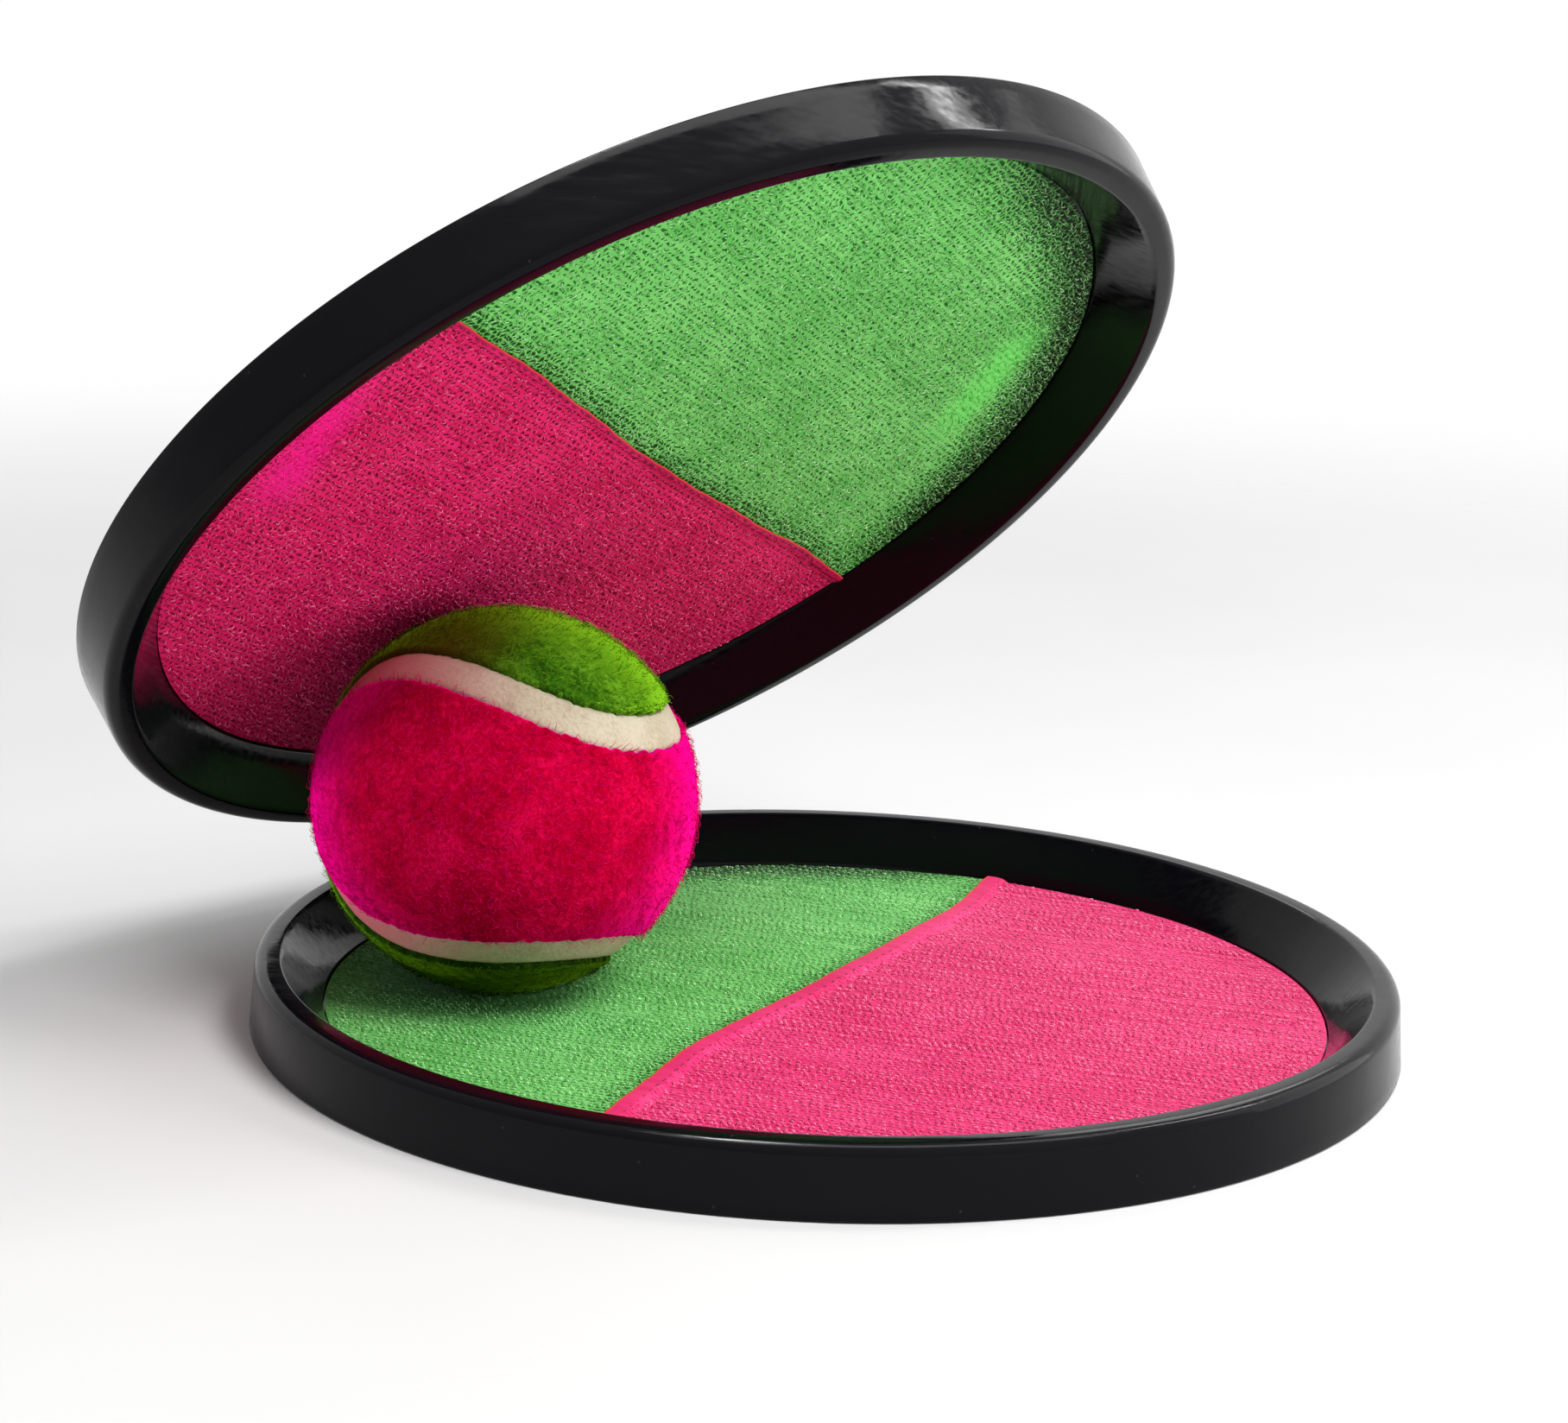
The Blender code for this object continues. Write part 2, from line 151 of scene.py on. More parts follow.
def moulded_plastic():
    """Black high-gloss ABS as it leaves a polished mould: a deep bluish black that mirrors its
    surroundings, with slow sink marks, hair scratches and grains of dust."""
    made, tree, shader = new_material("black_gloss_abs", 0.14, ior=1.20)
    place = node(tree, "TexCoord").outputs["Object"]
    # Sink marks about 25 mm long, and shallow dents of a few millimetres
    sinks = node(tree, "TexNoise", {"Vector": place, "Scale": 42.0, "Detail": 1.0})
    dents = node(tree, "TexNoise", {"Vector": place, "Scale": 230.0, "Detail": 2.0, "Roughness": 0.6})
    # Scratches are noise drawn out ten to one, and dust grains are about 0.4 mm wide
    drawn = {"Vector": place, "Scale": (90.0, 900.0, 900.0), "Rotation": (0.3, 0.5, 0.8)}
    scratch = node(tree, "TexNoise", {"Vector": node(tree, "Mapping", drawn), "Scale": 1.0, "Detail": 3.0})
    specks = node(tree, "TexVoronoi", {"Vector": place, "Scale": 210.0}, feature="F1")
    grain = node(tree, "Math", {0: specks, 1: 0.045}, operation="LESS_THAN")
    feed(tree, shader.inputs["Base Color"], mix(tree, grain, "#07070A", "#1E1E22"))
    rough = {"Value": scratch, "From Min": 0.35, "From Max": 0.75, "To Min": 0.08, "To Max": 0.22}
    feed(tree, shader.inputs["Roughness"], node(tree, "MapRange", rough))
    soft = node(tree, "Bump", {"Height": sinks, "Strength": 0.35, "Distance": 0.8 * MM})
    fine = {"Height": dents, "Strength": 0.12, "Distance": 0.25 * MM, "Normal": soft}
    feed(tree, shader.inputs["Normal"], node(tree, "Bump", fine))
    return made


def open_slot(tree, place, slot_x):
    """How far a point of the cloth lies in the light that comes through the open half of the slot
    behind it, from 0 to 1: that half reaches from 2 to 32 mm off the middle."""
    split = node(tree, "SeparateXYZ", {"Vector": place})
    side = node(tree, "Math", {0: split.outputs["X"], 1: slot_x}, operation="SUBTRACT")
    wide = node(tree, "Math", {0: side}, operation="ABSOLUTE")
    middle = node(tree, "Math", {0: split.outputs["Y"], 1: 17 * MM}, operation="ADD")
    long = node(tree, "Math", {0: middle}, operation="ABSOLUTE")
    across = {"Value": wide, "From Min": 0.5 * MM, "From Max": 7.5 * MM, "To Min": 0.8, "To Max": 0.0}
    along = {"Value": long, "From Min": 6 * MM, "From Max": 22 * MM, "To Min": 1.0, "To Max": 0.0}
    return both(tree, across, along)


def rim_crescent(tree, place):
    """How far a point lies in a crescent by the rim where the pits grow and turn near black, from 0 to 1."""
    reach = node(tree, "VectorMath", {0: place}, operation="LENGTH").outputs["Value"]
    leftward = {0: place, 1: (-0.94, -0.34, 0.0)}
    way = node(tree, "VectorMath", leftward, operation="DOT_PRODUCT").outputs["Value"]
    near = {"Value": reach, "From Min": 66 * MM, "From Max": 80 * MM}
    return both(tree, near, {"Value": way, "From Min": 40 * MM, "From Max": 66 * MM})


def pits(tree, place, turn):
    """Distance to the nearest pit of the knit: pits stand half a pitch beside the hooks, in the
    same staggered rows, so they are two plain lattices, one for the even rows and one for the odd."""
    rows = node(tree, "Mapping", {"Vector": place, "Rotation": (0, 0, -turn)})
    noise = node(tree, "TexNoise", {"Vector": place, "Scale": 480.0, "Detail": 1.0}).outputs["Color"]
    shift = node(tree, "VectorMath", {0: noise, 1: (0.5, 0.5, 0.5)}, operation="SUBTRACT")
    # Pushed about more along the row than across it, so that the pits make no columns
    push = node(tree, "VectorMath", {0: shift, 1: (3.4 * MM, 1.3 * MM, 0.0)}, operation="MULTIPLY")
    moved = node(tree, "VectorMath", {0: rows, 1: push}, operation="ADD")
    cell = (HOOK_PITCH, 2 * HOOK_ROW, 0.0)
    scale = (1 / cell[0], 1 / cell[1], 0.0)
    reaches = {}
    for number, offset in enumerate(((0.0, 0.5, 0.0), (0.5, 0.0, 0.0))):
        lattice = node(tree, "Mapping", {"Vector": moved, "Scale": scale, "Location": offset})
        part = node(tree, "VectorMath", {0: lattice}, operation="FRACTION")
        centred = node(tree, "VectorMath", {0: part, 1: (0.5, 0.5, 0.0)}, operation="SUBTRACT")
        sized = node(tree, "VectorMath", {0: centred, 1: cell}, operation="MULTIPLY")
        reaches[number] = node(tree, "VectorMath", {0: sized}, operation="LENGTH").outputs["Value"]
    return node(tree, "Math", reaches, operation="MINIMUM")


def hook_cloth(name, streak, pit_size, pit, dark, light, lit, slot_x, turn, plain):
    """Warp-knitted polyester backing of hook tape: knit loops in rows with a dark pit beside
    each hook, clouded and streaked along the rows, brighter over the open slot, with its pits
    larger and near black in a crescent by the rim, and on the green half painted shade beside the hem's fold."""
    made, tree, shader = new_material(name, 0.6, ior=1.4, Specular_IOR_Level=0.1)
    place = node(tree, "Attribute", attribute_name="flat").outputs["Vector"]
    edge = node(tree, "Attribute", attribute_name="edge").outputs["Fac"]
    # Clouds about 18 mm wide, and streaks 2 mm wide drawn out along the rows
    patches = node(tree, "TexNoise", {"Vector": place, "Scale": 55.0, "Detail": 3.0})
    rows = node(tree, "Mapping", {"Vector": place, "Rotation": (0, 0, -turn)})
    drawn = node(tree, "Mapping", {"Vector": rows, "Scale": (streak, 520.0, 1.0)})
    streaks = node(tree, "TexNoise", {"Vector": drawn, "Scale": 1.0, "Detail": 3.0})
    mixed = node(tree, "Math", {0: patches, 1: streaks}, operation="ADD")
    cloudy = node(tree, "MapRange", {"Value": mixed, "From Min": 0.75, "From Max": 1.25})
    base = mix(tree, cloudy, dark, light)
    # Pits grow and turn near black in a crescent by the rim
    darker_pits = rim_crescent(tree, place)
    if not plain:
        # Painted shade on the green cloth beside the pink hem folded over it: its pits grow and darken
        by_hem = {"Value": edge, "From Min": -6 * MM, "From Max": -1 * MM, "To Max": 0.55}
        hem_shade = node(tree, "MapRange", by_hem, interpolation_type="SMOOTHSTEP")
        darker_pits = node(tree, "Math", {0: darker_pits, 1: hem_shade}, operation="MAXIMUM")
    width = node(tree, "MapRange", {"Value": darker_pits, "To Min": pit_size, "To Max": 0.94 * MM})
    core = node(tree, "Math", {0: width, 1: 0.45}, operation="MULTIPLY")
    to_pit = pits(tree, place, turn)
    hole = {"Value": to_pit, "From Min": core, "From Max": width, "To Min": 1.0, "To Max": 0.0}
    shown = node(tree, "MapRange", hole, interpolation_type="SMOOTHSTEP")
    if plain:
        # The folded strip has no pits and lies flatter and duller than the rest
        past_fold = {"Value": edge, "From Min": plain - 0.5 * MM, "From Max": plain + 0.1 * MM}
        beyond = node(tree, "MapRange", past_fold)
        shown = node(tree, "Math", {0: shown, 1: beyond}, operation="MULTIPLY")
        base = mix(tree, beyond, mix(tree, 0.30, base, pit), base)
    if lit:
        glow = open_slot(tree, place, slot_x)
        base = mix(tree, glow, base, lit)
        covered = node(tree, "Math", {0: 1.0, 1: glow}, operation="SUBTRACT")
        shown = node(tree, "Math", {0: shown, 1: covered}, operation="MULTIPLY")
    # Pits go near black in the rim crescent and in the painted shade beside the hem
    colour = mix(tree, shown, base, mix(tree, darker_pits, pit, "#070B07"))
    if plain:
        # The heat-cut edge is a thin orange line, wider where the fold is wide
        cut = {"Value": edge, "From Min": plain / 9, "From Max": plain / 4, "To Min": 1.0, "To Max": 0.0}
        colour = mix(tree, node(tree, "MapRange", cut), colour, "#D04A30")
    feed(tree, shader.inputs["Base Color"], colour)
    bump = node(tree, "Bump", {"Height": shown, "Strength": 0.5, "Distance": 0.3 * MM}, invert=True)
    feed(tree, shader.inputs["Normal"], bump)
    return made


def hook_filament(name, dark, light, lit, slot_x):
    """Nylon monofilament of the hooks: its rounded tops catch the light in short strokes,
    each hook a shade lighter or darker than the next."""
    made, tree, shader = new_material(name, 0.45, ior=1.4, Specular_IOR_Level=0.4)
    place = node(tree, "Attribute", attribute_name="flat").outputs["Vector"]
    shades = node(tree, "TexNoise", {"Vector": place, "Scale": 650.0, "Detail": 2.0})
    spread = node(tree, "MapRange", {"Value": shades, "From Min": 0.32, "From Max": 0.68})
    colour = mix(tree, spread, dark, light)
    if lit:
        colour = mix(tree, open_slot(tree, place, slot_x), colour, lit)
    feed(tree, shader.inputs["Base Color"], colour)
    return made


def ball_side(tree, place, way, start, full):
    """How far a point of the ball lies round to the side that a unit way names, from 0 to 1."""
    off = node(tree, "VectorMath", {0: place, 1: tuple(BALL_CENTRE)}, operation="SUBTRACT")
    turned = node(tree, "VectorMath", {0: off, 1: way}, operation="DOT_PRODUCT").outputs["Value"]
    near = {"Value": turned, "From Min": start * BALL_RADIUS, "From Max": full * BALL_RADIUS}
    return node(tree, "MapRange", near, interpolation_type="SMOOTHSTEP")


def felt_nap(name, dark, middle, light, edge_sheen, sheen, painted_shade=None):
    """Needled wool and nylon felt with a raised nap: matt, softly clouded where the nap lies one
    way or the other, with a painted sheen in a brighter colour along its outline, where it is seen edge-on."""
    made, tree, shader = new_material(
        name, 0.95, Specular_IOR_Level=0.0, Sheen_Weight=0.45, Sheen_Roughness=0.4, Sheen_Tint=sheen
    )
    place = node(tree, "TexCoord").outputs["Object"]
    # Clouds of the nap about 8 mm wide, and tufts of little more than a millimetre
    cloudy = {"Vector": place, "Scale": 130.0, "Detail": 3.0, "Roughness": 0.6, "Distortion": 0.4}
    tufted = {"Vector": place, "Scale": 780.0, "Detail": 4.0, "Roughness": 0.7, "Distortion": 1.6}
    clouds, tufts = node(tree, "TexNoise", cloudy), node(tree, "TexNoise", tufted)
    mixed = node(tree, "Math", {0: tufts, 1: 1.6, 2: clouds}, operation="MULTIPLY_ADD")
    spread = node(tree, "MapRange", {"Value": mixed, "From Min": 0.95, "From Max": 1.65})
    colour = ramp(tree, spread, ((0.0, dark), (0.5, middle), (1.0, light)))
    # Painted sheen: where the felt is seen edge-on, its colour is mixed towards a brighter one
    facing = node(tree, "LayerWeight", {"Blend": 0.5}).outputs["Facing"]
    glow = {"Value": facing, "From Min": 0.30, "From Max": 0.95, "To Max": 0.85}
    colour = mix(tree, node(tree, "MapRange", glow, interpolation_type="SMOOTHSTEP"), colour, edge_sheen)
    if painted_shade:
        # Painted shade: brown with pink bounce light on its upper left under the upper dish, and near black
        # underneath, where the ball sits
        colour = mix(tree, ball_side(tree, place, (-0.50, -0.25, 0.83), 0.70, 1.0), colour, painted_shade)
        colour = mix(tree, ball_side(tree, place, (0.0, 0.0, -1.0), 0.38, 0.80), colour, "#081A06")
    feed(tree, shader.inputs["Base Color"], colour)
    bump = node(tree, "Bump", {"Height": tufts, "Strength": 0.5, "Distance": 0.4 * MM})
    feed(tree, shader.inputs["Normal"], bump)
    return made


def cream_rubber():
    """Vulcanised seam rubber: matt cream with fine pits about 0.7 mm apart and faint dirt."""
    made, tree, shader = new_material("cream_seam_rubber", 0.72, ior=1.4)
    place = node(tree, "TexCoord").outputs["Object"]
    dimples = node(tree, "TexNoise", {"Vector": place, "Scale": 1500.0, "Detail": 3.0, "Roughness": 0.6})
    dirt = node(tree, "TexNoise", {"Vector": place, "Scale": 140.0, "Detail": 3.0})
    mixed = node(tree, "Math", {0: dimples, 1: dirt}, operation="ADD")
    spread = node(tree, "MapRange", {"Value": mixed, "From Min": 0.65, "From Max": 1.2})
    colour = ramp(tree, spread, ((0.0, "#9C8E76"), (0.45, "#AA9E88"), (1.0, "#B6AC98")))
    # Painted pink bounce light from the pink cloth, on the seam's left side
    colour = mix(tree, ball_side(tree, place, (-0.95, -0.30, 0.0), -0.05, 1.0), colour, "#C4586A")
    feed(tree, shader.inputs["Base Color"], colour)
    bump = node(tree, "Bump", {"Height": dimples, "Strength": 0.6, "Distance": 0.3 * MM})
    feed(tree, shader.inputs["Normal"], bump)
    return made


def woven_elastic():
    """Black knitted elastic: ribs 1.6 mm apart along the band, crossed by weft threads every millimetre."""
    made, tree, shader = new_material("black_woven_elastic", 0.8, Sheen_Weight=0.08)
    place = node(tree, "Attribute", attribute_name="flat").outputs["Vector"]
    threads = {"Vector": place, "Scale": 320.0, "Distortion": 0.6, "Detail": 2.0}
    weft = node(tree, "TexWave", threads, wave_type="BANDS", bands_direction="X").outputs["Fac"]
    feed(tree, shader.inputs["Base Color"], ramp(tree, weft, ((0.2, "#0E0E10"), (0.8, "#222225"))))
    bump = node(tree, "Bump", {"Height": weft, "Strength": 0.7, "Distance": 0.2 * MM})
    feed(tree, shader.inputs["Normal"], bump)
    return made


def core_rubber():
    """Dark grey moulded rubber of the ball's inside, clouded every 5 mm or so."""
    made, tree, shader = new_material("grey_core_rubber", 0.8)
    place = node(tree, "TexCoord").outputs["Object"]
    cloud = node(tree, "TexNoise", {"Vector": place, "Scale": 200.0, "Detail": 3.0})
    feed(tree, shader.inputs["Base Color"], ramp(tree, cloud, ((0.3, "#2A2A2A"), (0.7, "#383838"))))
    return made


def pale_paper():
    """Matt studio paper: a plain pale floor with the faintest mottle, fading out at its edge."""
    made, tree, shader = new_material("studio_paper", 0.9, ior=1.2)
    place = node(tree, "TexCoord").outputs["Object"]
    mottle = node(tree, "TexNoise", {"Vector": place, "Scale": 8.0, "Detail": 3.0})
    feed(tree, shader.inputs["Base Color"], ramp(tree, mottle, ((0.3, "#C8C8C8"), (0.7, "#CCCCCC"))))
    reach = node(tree, "VectorMath", {0: place}, operation="LENGTH").outputs["Value"]
    outward = {"Value": reach, "From Min": 0.30, "From Max": 0.75}
    fade = node(tree, "MapRange", outward, interpolation_type="SMOOTHSTEP")
    faded = node(tree, "MixShader", {0: fade, 1: shader, 2: node(tree, "BsdfTransparent")})
    feed(tree, tree.nodes["Material Output"].inputs["Surface"], faded)
    return made


# Meshes

def surface(name, points, material, wrap_rows=False, wrap_columns=False, **given):
    """A grid of points [row, column] joined into four-sided faces, with its doubled points merged
    at the poles and its faces turned outwards."""
    rows, columns = points.shape[:2]
    ids = np.arange(rows * columns).reshape(rows, columns)
    below = np.roll(ids, -1, axis=0) if wrap_rows else ids[1:]
    top = ids if wrap_rows else ids[:-1]
    if wrap_columns:
        faces = np.stack([top, below, np.roll(below, -1, axis=1), np.roll(top, -1, axis=1)], axis=-1)
    else:
        faces = np.stack([top[:, :-1], below[:, :-1], below[:, 1:], top[:, 1:]], axis=-1)
    return piece_from(name, points.reshape(-1, 3), faces.reshape(-1, 4), material, merge=True, **given)


def piece_from(name, points, faces, material, place=None, keep_flat=False, merge=False, edge=None):
    """An object from points and faces, moved to its place; keep_flat keeps the dish's own coordinates
    for its material, and edge the distance of each point from the hem."""
    mesh = bpy.data.meshes.new(name)
    mesh.vertices.add(len(points))
    mesh.vertices.foreach_set("co", np.ascontiguousarray(points, np.float32).ravel())
    sides = faces.shape[1]
    mesh.loops.add(faces.size)
    mesh.loops.foreach_set("vertex_index", np.ascontiguousarray(faces, np.int32).ravel())
    mesh.polygons.add(len(faces))
    mesh.polygons.foreach_set("loop_start", np.arange(0, faces.size, sides, dtype=np.int32))
    mesh.update(calc_edges=True)
    if keep_flat:
        flat = mesh.attributes.new("flat", "FLOAT_VECTOR", "POINT")
        flat.data.foreach_set("vector", np.ascontiguousarray(points, np.float32).ravel())
    if edge is not None:
        from_hem = mesh.attributes.new("edge", "FLOAT", "POINT")
        from_hem.data.foreach_set("value", np.ascontiguousarray(edge, np.float32).ravel())
    if merge:
        work = bmesh.new()
        work.from_mesh(mesh)
        bmesh.ops.remove_doubles(work, verts=work.verts, dist=1e-6)
        bmesh.ops.dissolve_degenerate(work, edges=work.edges, dist=1e-7)
        bmesh.ops.recalc_face_normals(work, faces=work.faces)
        if work.calc_volume(signed=True) < 0:
            bmesh.ops.reverse_faces(work, faces=work.faces)
        work.to_mesh(mesh)
        work.free()
    if place is not None:
        mesh.transform(place)
    mesh.shade_smooth()
    made = bpy.data.objects.new(name, mesh)
    bpy.context.scene.collection.objects.link(made)
    mesh.materials.append(material)
    return made


def settle(made, replaces=()):
    """Let a piece ride on the set's one body, and hide the CAD nodes that it stands for."""
    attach(made, "root")
    if replaces:
        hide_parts(*replaces)
    return made


def arc(centre, radius, start, stop, steps):
    """Points of a circle's arc between two angles in degrees."""
    angles = np.radians(np.linspace(start, stop, steps))
    return [(centre[0] + radius * math.cos(a), centre[1] + radius * math.sin(a)) for a in angles]


def dish_profile():
    """The moulded section from the axis over the face, round the rim and back to the axis: straight
    stretches joined by arcs at the rim and at the foot of the skirt."""
    run, rise = RIM_EDGE_RADIUS - SEAT_RADIUS, RIM_HEIGHT - FABRIC_TOP
    size = math.hypot(run, rise)
    slope = (run / size, rise / size)
    shoulder = (SHOULDER_RADIUS - RIM_ROUNDING, RIM_HEIGHT - RIM_ROUNDING)
    edge, nick = 0.3 * MM, 0.1 * MM
    path = [(0.0, PLATE_TOP), (20 * MM, PLATE_TOP), (60 * MM, PLATE_TOP), (SEAT_RADIUS - nick, PLATE_TOP)]
    path += [(SEAT_RADIUS, PLATE_TOP + nick), (SEAT_RADIUS, FABRIC_TOP - nick)]
    for step in (0.02, 0.3, 0.6, 0.9):
        path.append((SEAT_RADIUS + run * step, FABRIC_TOP + rise * step))
    path.append((RIM_EDGE_RADIUS - slope[0] * edge, RIM_HEIGHT - slope[1] * edge))
    path.append((RIM_EDGE_RADIUS + edge * 0.25, RIM_HEIGHT - edge * 0.12))
    path.append((RIM_EDGE_RADIUS + edge, RIM_HEIGHT))
    path += arc(shoulder, RIM_ROUNDING, 90, 4, 12)
    foot = 0.35 * MM
    for step in (0.25, 0.5, 0.75):
        path.append((SHOULDER_RADIUS + (SKIRT_RADIUS - SHOULDER_RADIUS) * step, shoulder[1] * (1 - step)))
    path += arc((SKIRT_RADIUS - foot, foot), foot, 0, -90, 5)
    path += arc((SKIRT_RADIUS - WALL + foot, foot), foot, -90, -180, 4)
    path.append((SHOULDER_RADIUS - WALL, shoulder[1]))
    under = RIM_HEIGHT - WALL
    path.append((SHOULDER_RADIUS - WALL - RIM_ROUNDING / 5, under))
    behind = (slope[1] * WALL, -slope[0] * WALL)
    for height in (under, PLATE_BOTTOM + 1.5 * MM, PLATE_BOTTOM + 0.2 * MM, PLATE_BOTTOM):
        climb = height - FABRIC_TOP - behind[1]
        path.append((SEAT_RADIUS + behind[0] + climb * slope[0] / slope[1], height))
    path += [(60 * MM, PLATE_BOTTOM), (20 * MM, PLATE_BOTTOM), (0.0, PLATE_BOTTOM)]
    return np.array(path)


def prism(name, outlines, low, high, place):
    """Straight-sided helper on one or more outlines, for cutting."""
    work = bmesh.new()
    for outline in outlines:
        base = work.faces.new([work.verts.new((x, y, low)) for x, y in outline])
        raised = bmesh.ops.extrude_face_region(work, geom=[base], use_keep_orig=True)
        lifted = [item for item in raised["geom"] if isinstance(item, bmesh.types.BMVert)]
        bmesh.ops.translate(work, verts=lifted, vec=(0, 0, high - low))
    bmesh.ops.recalc_face_normals(work, faces=work.faces)
    mesh = bpy.data.meshes.new(name)
    work.to_mesh(mesh)
    work.free()
    mesh.transform(place)
    helper = bpy.data.objects.new(name, mesh)
    bpy.context.scene.collection.objects.link(helper)
    return helper


def slot_outline(radius, straight):
    """A long slot with half-round ends, its long side along Y."""
    right = arc((SLOT_SPACING / 2, straight), radius, 0, 180, 13)
    left = arc((SLOT_SPACING / 2, -straight), radius, 180, 360, 13)
    return right + left


def make_dish(name, place, material, node_name):
    """The section (r, z) swept round the axis as (r cos a, r sin a, z), with two slots and pockets cut."""
    profile = dish_profile()
    turns = np.linspace(0, 2 * math.pi, DISH_TURNS, endpoint=False)[:, None]
    height = np.broadcast_to(profile[:, 1], (DISH_TURNS, len(profile)))
    points = np.stack([profile[:, 0] * np.cos(turns), profile[:, 0] * np.sin(turns), height], axis=-1)
    dish = surface(name, points, material, wrap_rows=True, place=place)
    near = SLOT_SPACING / 2 + SLOT_WIDTH / 4
    end = SLOT_SPACING / 2 + SLOT_WIDTH / 2 + STRAP_TAIL + POCKET_CLEARANCE
    reach = STRAP_WIDTH / 2 + POCKET_CLEARANCE
    low, high = STRAP_OFFSET - reach, STRAP_OFFSET + reach
    floor = PLATE_TOP - POCKET_DEPTH
    extra = POCKET_FLOOR
    out = end + extra
    step = [(near, low - extra), (out, low - extra), (out, high + extra), (near, high + extra)]
    pocket = [(near, low), (end, low), (end, high), (near, high)]
    slot = slot_outline(SLOT_WIDTH / 2, SLOT_LENGTH / 2 - SLOT_WIDTH / 2)
    changes = (
        ("UNION", step, floor - extra, PLATE_TOP - 0.5 * MM),
        ("DIFFERENCE", pocket, floor, PLATE_TOP + WALL),
        ("DIFFERENCE", slot, -WALL, PLATE_TOP + WALL),
    )
    for operation, outline, bottom, top in changes:
        mirror = [(-x, y) for x, y in reversed(outline)]
        helper = prism("helper", [outline, mirror], bottom, top, place)
        change = dish.modifiers.new("Change", "BOOLEAN")
        change.operation, change.solver, change.object = operation, "EXACT", helper
        bpy.context.view_layer.update()
        graph = bpy.context.evaluated_depsgraph_get()
        made = bpy.data.meshes.new_from_object(dish.evaluated_get(graph))
        dish.modifiers.remove(change)
        dish.data = made
        bpy.data.objects.remove(helper, do_unlink=True)
    dish.data.name = name
    dish.data.shade_smooth()
    dish.data.set_sharp_from_angle(angle=math.radians(38))
    return settle(dish, replaces=[node_name])


# Fabric, laid out in the dish's own frame turned so that the hem runs along T and pink lies towards +N

class Hem:
    """Course of the hem as a height n over the way t along it: a smooth curve through its points
    (Catmull-Rom), with a slow wave and a small ripple that the seed shifts."""

    def __init__(self, points, seed):
        points = np.array(points) * MM
        chord = points[0] - points[-1]
        self.t_axis = chord / np.linalg.norm(chord)
        self.n_axis = np.array([self.t_axis[1], -self.t_axis[0]])
        ends = np.vstack([2 * points[0] - points[1], points, 2 * points[-1] - points[-2]])
        course = []
        for k in range(len(points) - 1):
            a, b, c, d = ends[k : k + 4]
            s = np.linspace(0, 1, 12, endpoint=False)[:, None]
            bend = (2 * a - 5 * b + 4 * c - d) * s**2 + (3 * b - a - 3 * c + d) * s**3
            course.append(0.5 * (2 * b + (c - a) * s + bend))
        course = np.vstack(course + [points[-1:]])
        t, n = course @ self.t_axis, course @ self.n_axis
        order = np.argsort(t)
        self.t, self.n, self.seed = t[order], n[order], seed

    def height(self, t):
        """Distance n of the edge at t: the course, and two sines of 27 and 8.3 mm."""
        slow = 0.12 * np.sin(2 * math.pi * t / (27 * MM) + self.seed)
        quick = 0.06 * np.sin(2 * math.pi * t / (8.3 * MM) + 2 * self.seed)
        return np.interp(t, self.t, self.n) + (slow + quick) * MM

    def slant(self, t):
        """Slope of the course at t, over a millimetre."""
        step = 0.5 * MM
        return (self.height(t + step) - self.height(t - step)) / (2 * step)

    def plane(self, t, n):
        """The dish's own x and y of points given by t and n."""
        return t[..., None] * self.t_axis + n[..., None] * self.n_axis

    def distance(self, xy):
        """Distance from the hem's edge, positive on the pink side."""
        t, n = xy @ self.t_axis, xy @ self.n_axis
        return (n - self.height(t)) / np.sqrt(1 + self.slant(t) ** 2)


def ripple(x, y):
    """Slow unevenness of the glued cloth, up to 0.1 mm either way: two crossing sines."""
    bent = np.sin(x / (7 * MM) + 1.3 * np.sin(y / (11 * MM)))
    return 0.06 * MM * (bent + 0.7 * np.sin(y / (5.5 * MM) + x / (13 * MM)))


def smoothstep(value, low, high):
    """3 s^2 - 2 s^3 of the way s from low to high, held at 0 and 1 beyond them."""
    s = np.clip((value - low) / (high - low), 0, 1)
    return s * s * (3 - 2 * s)


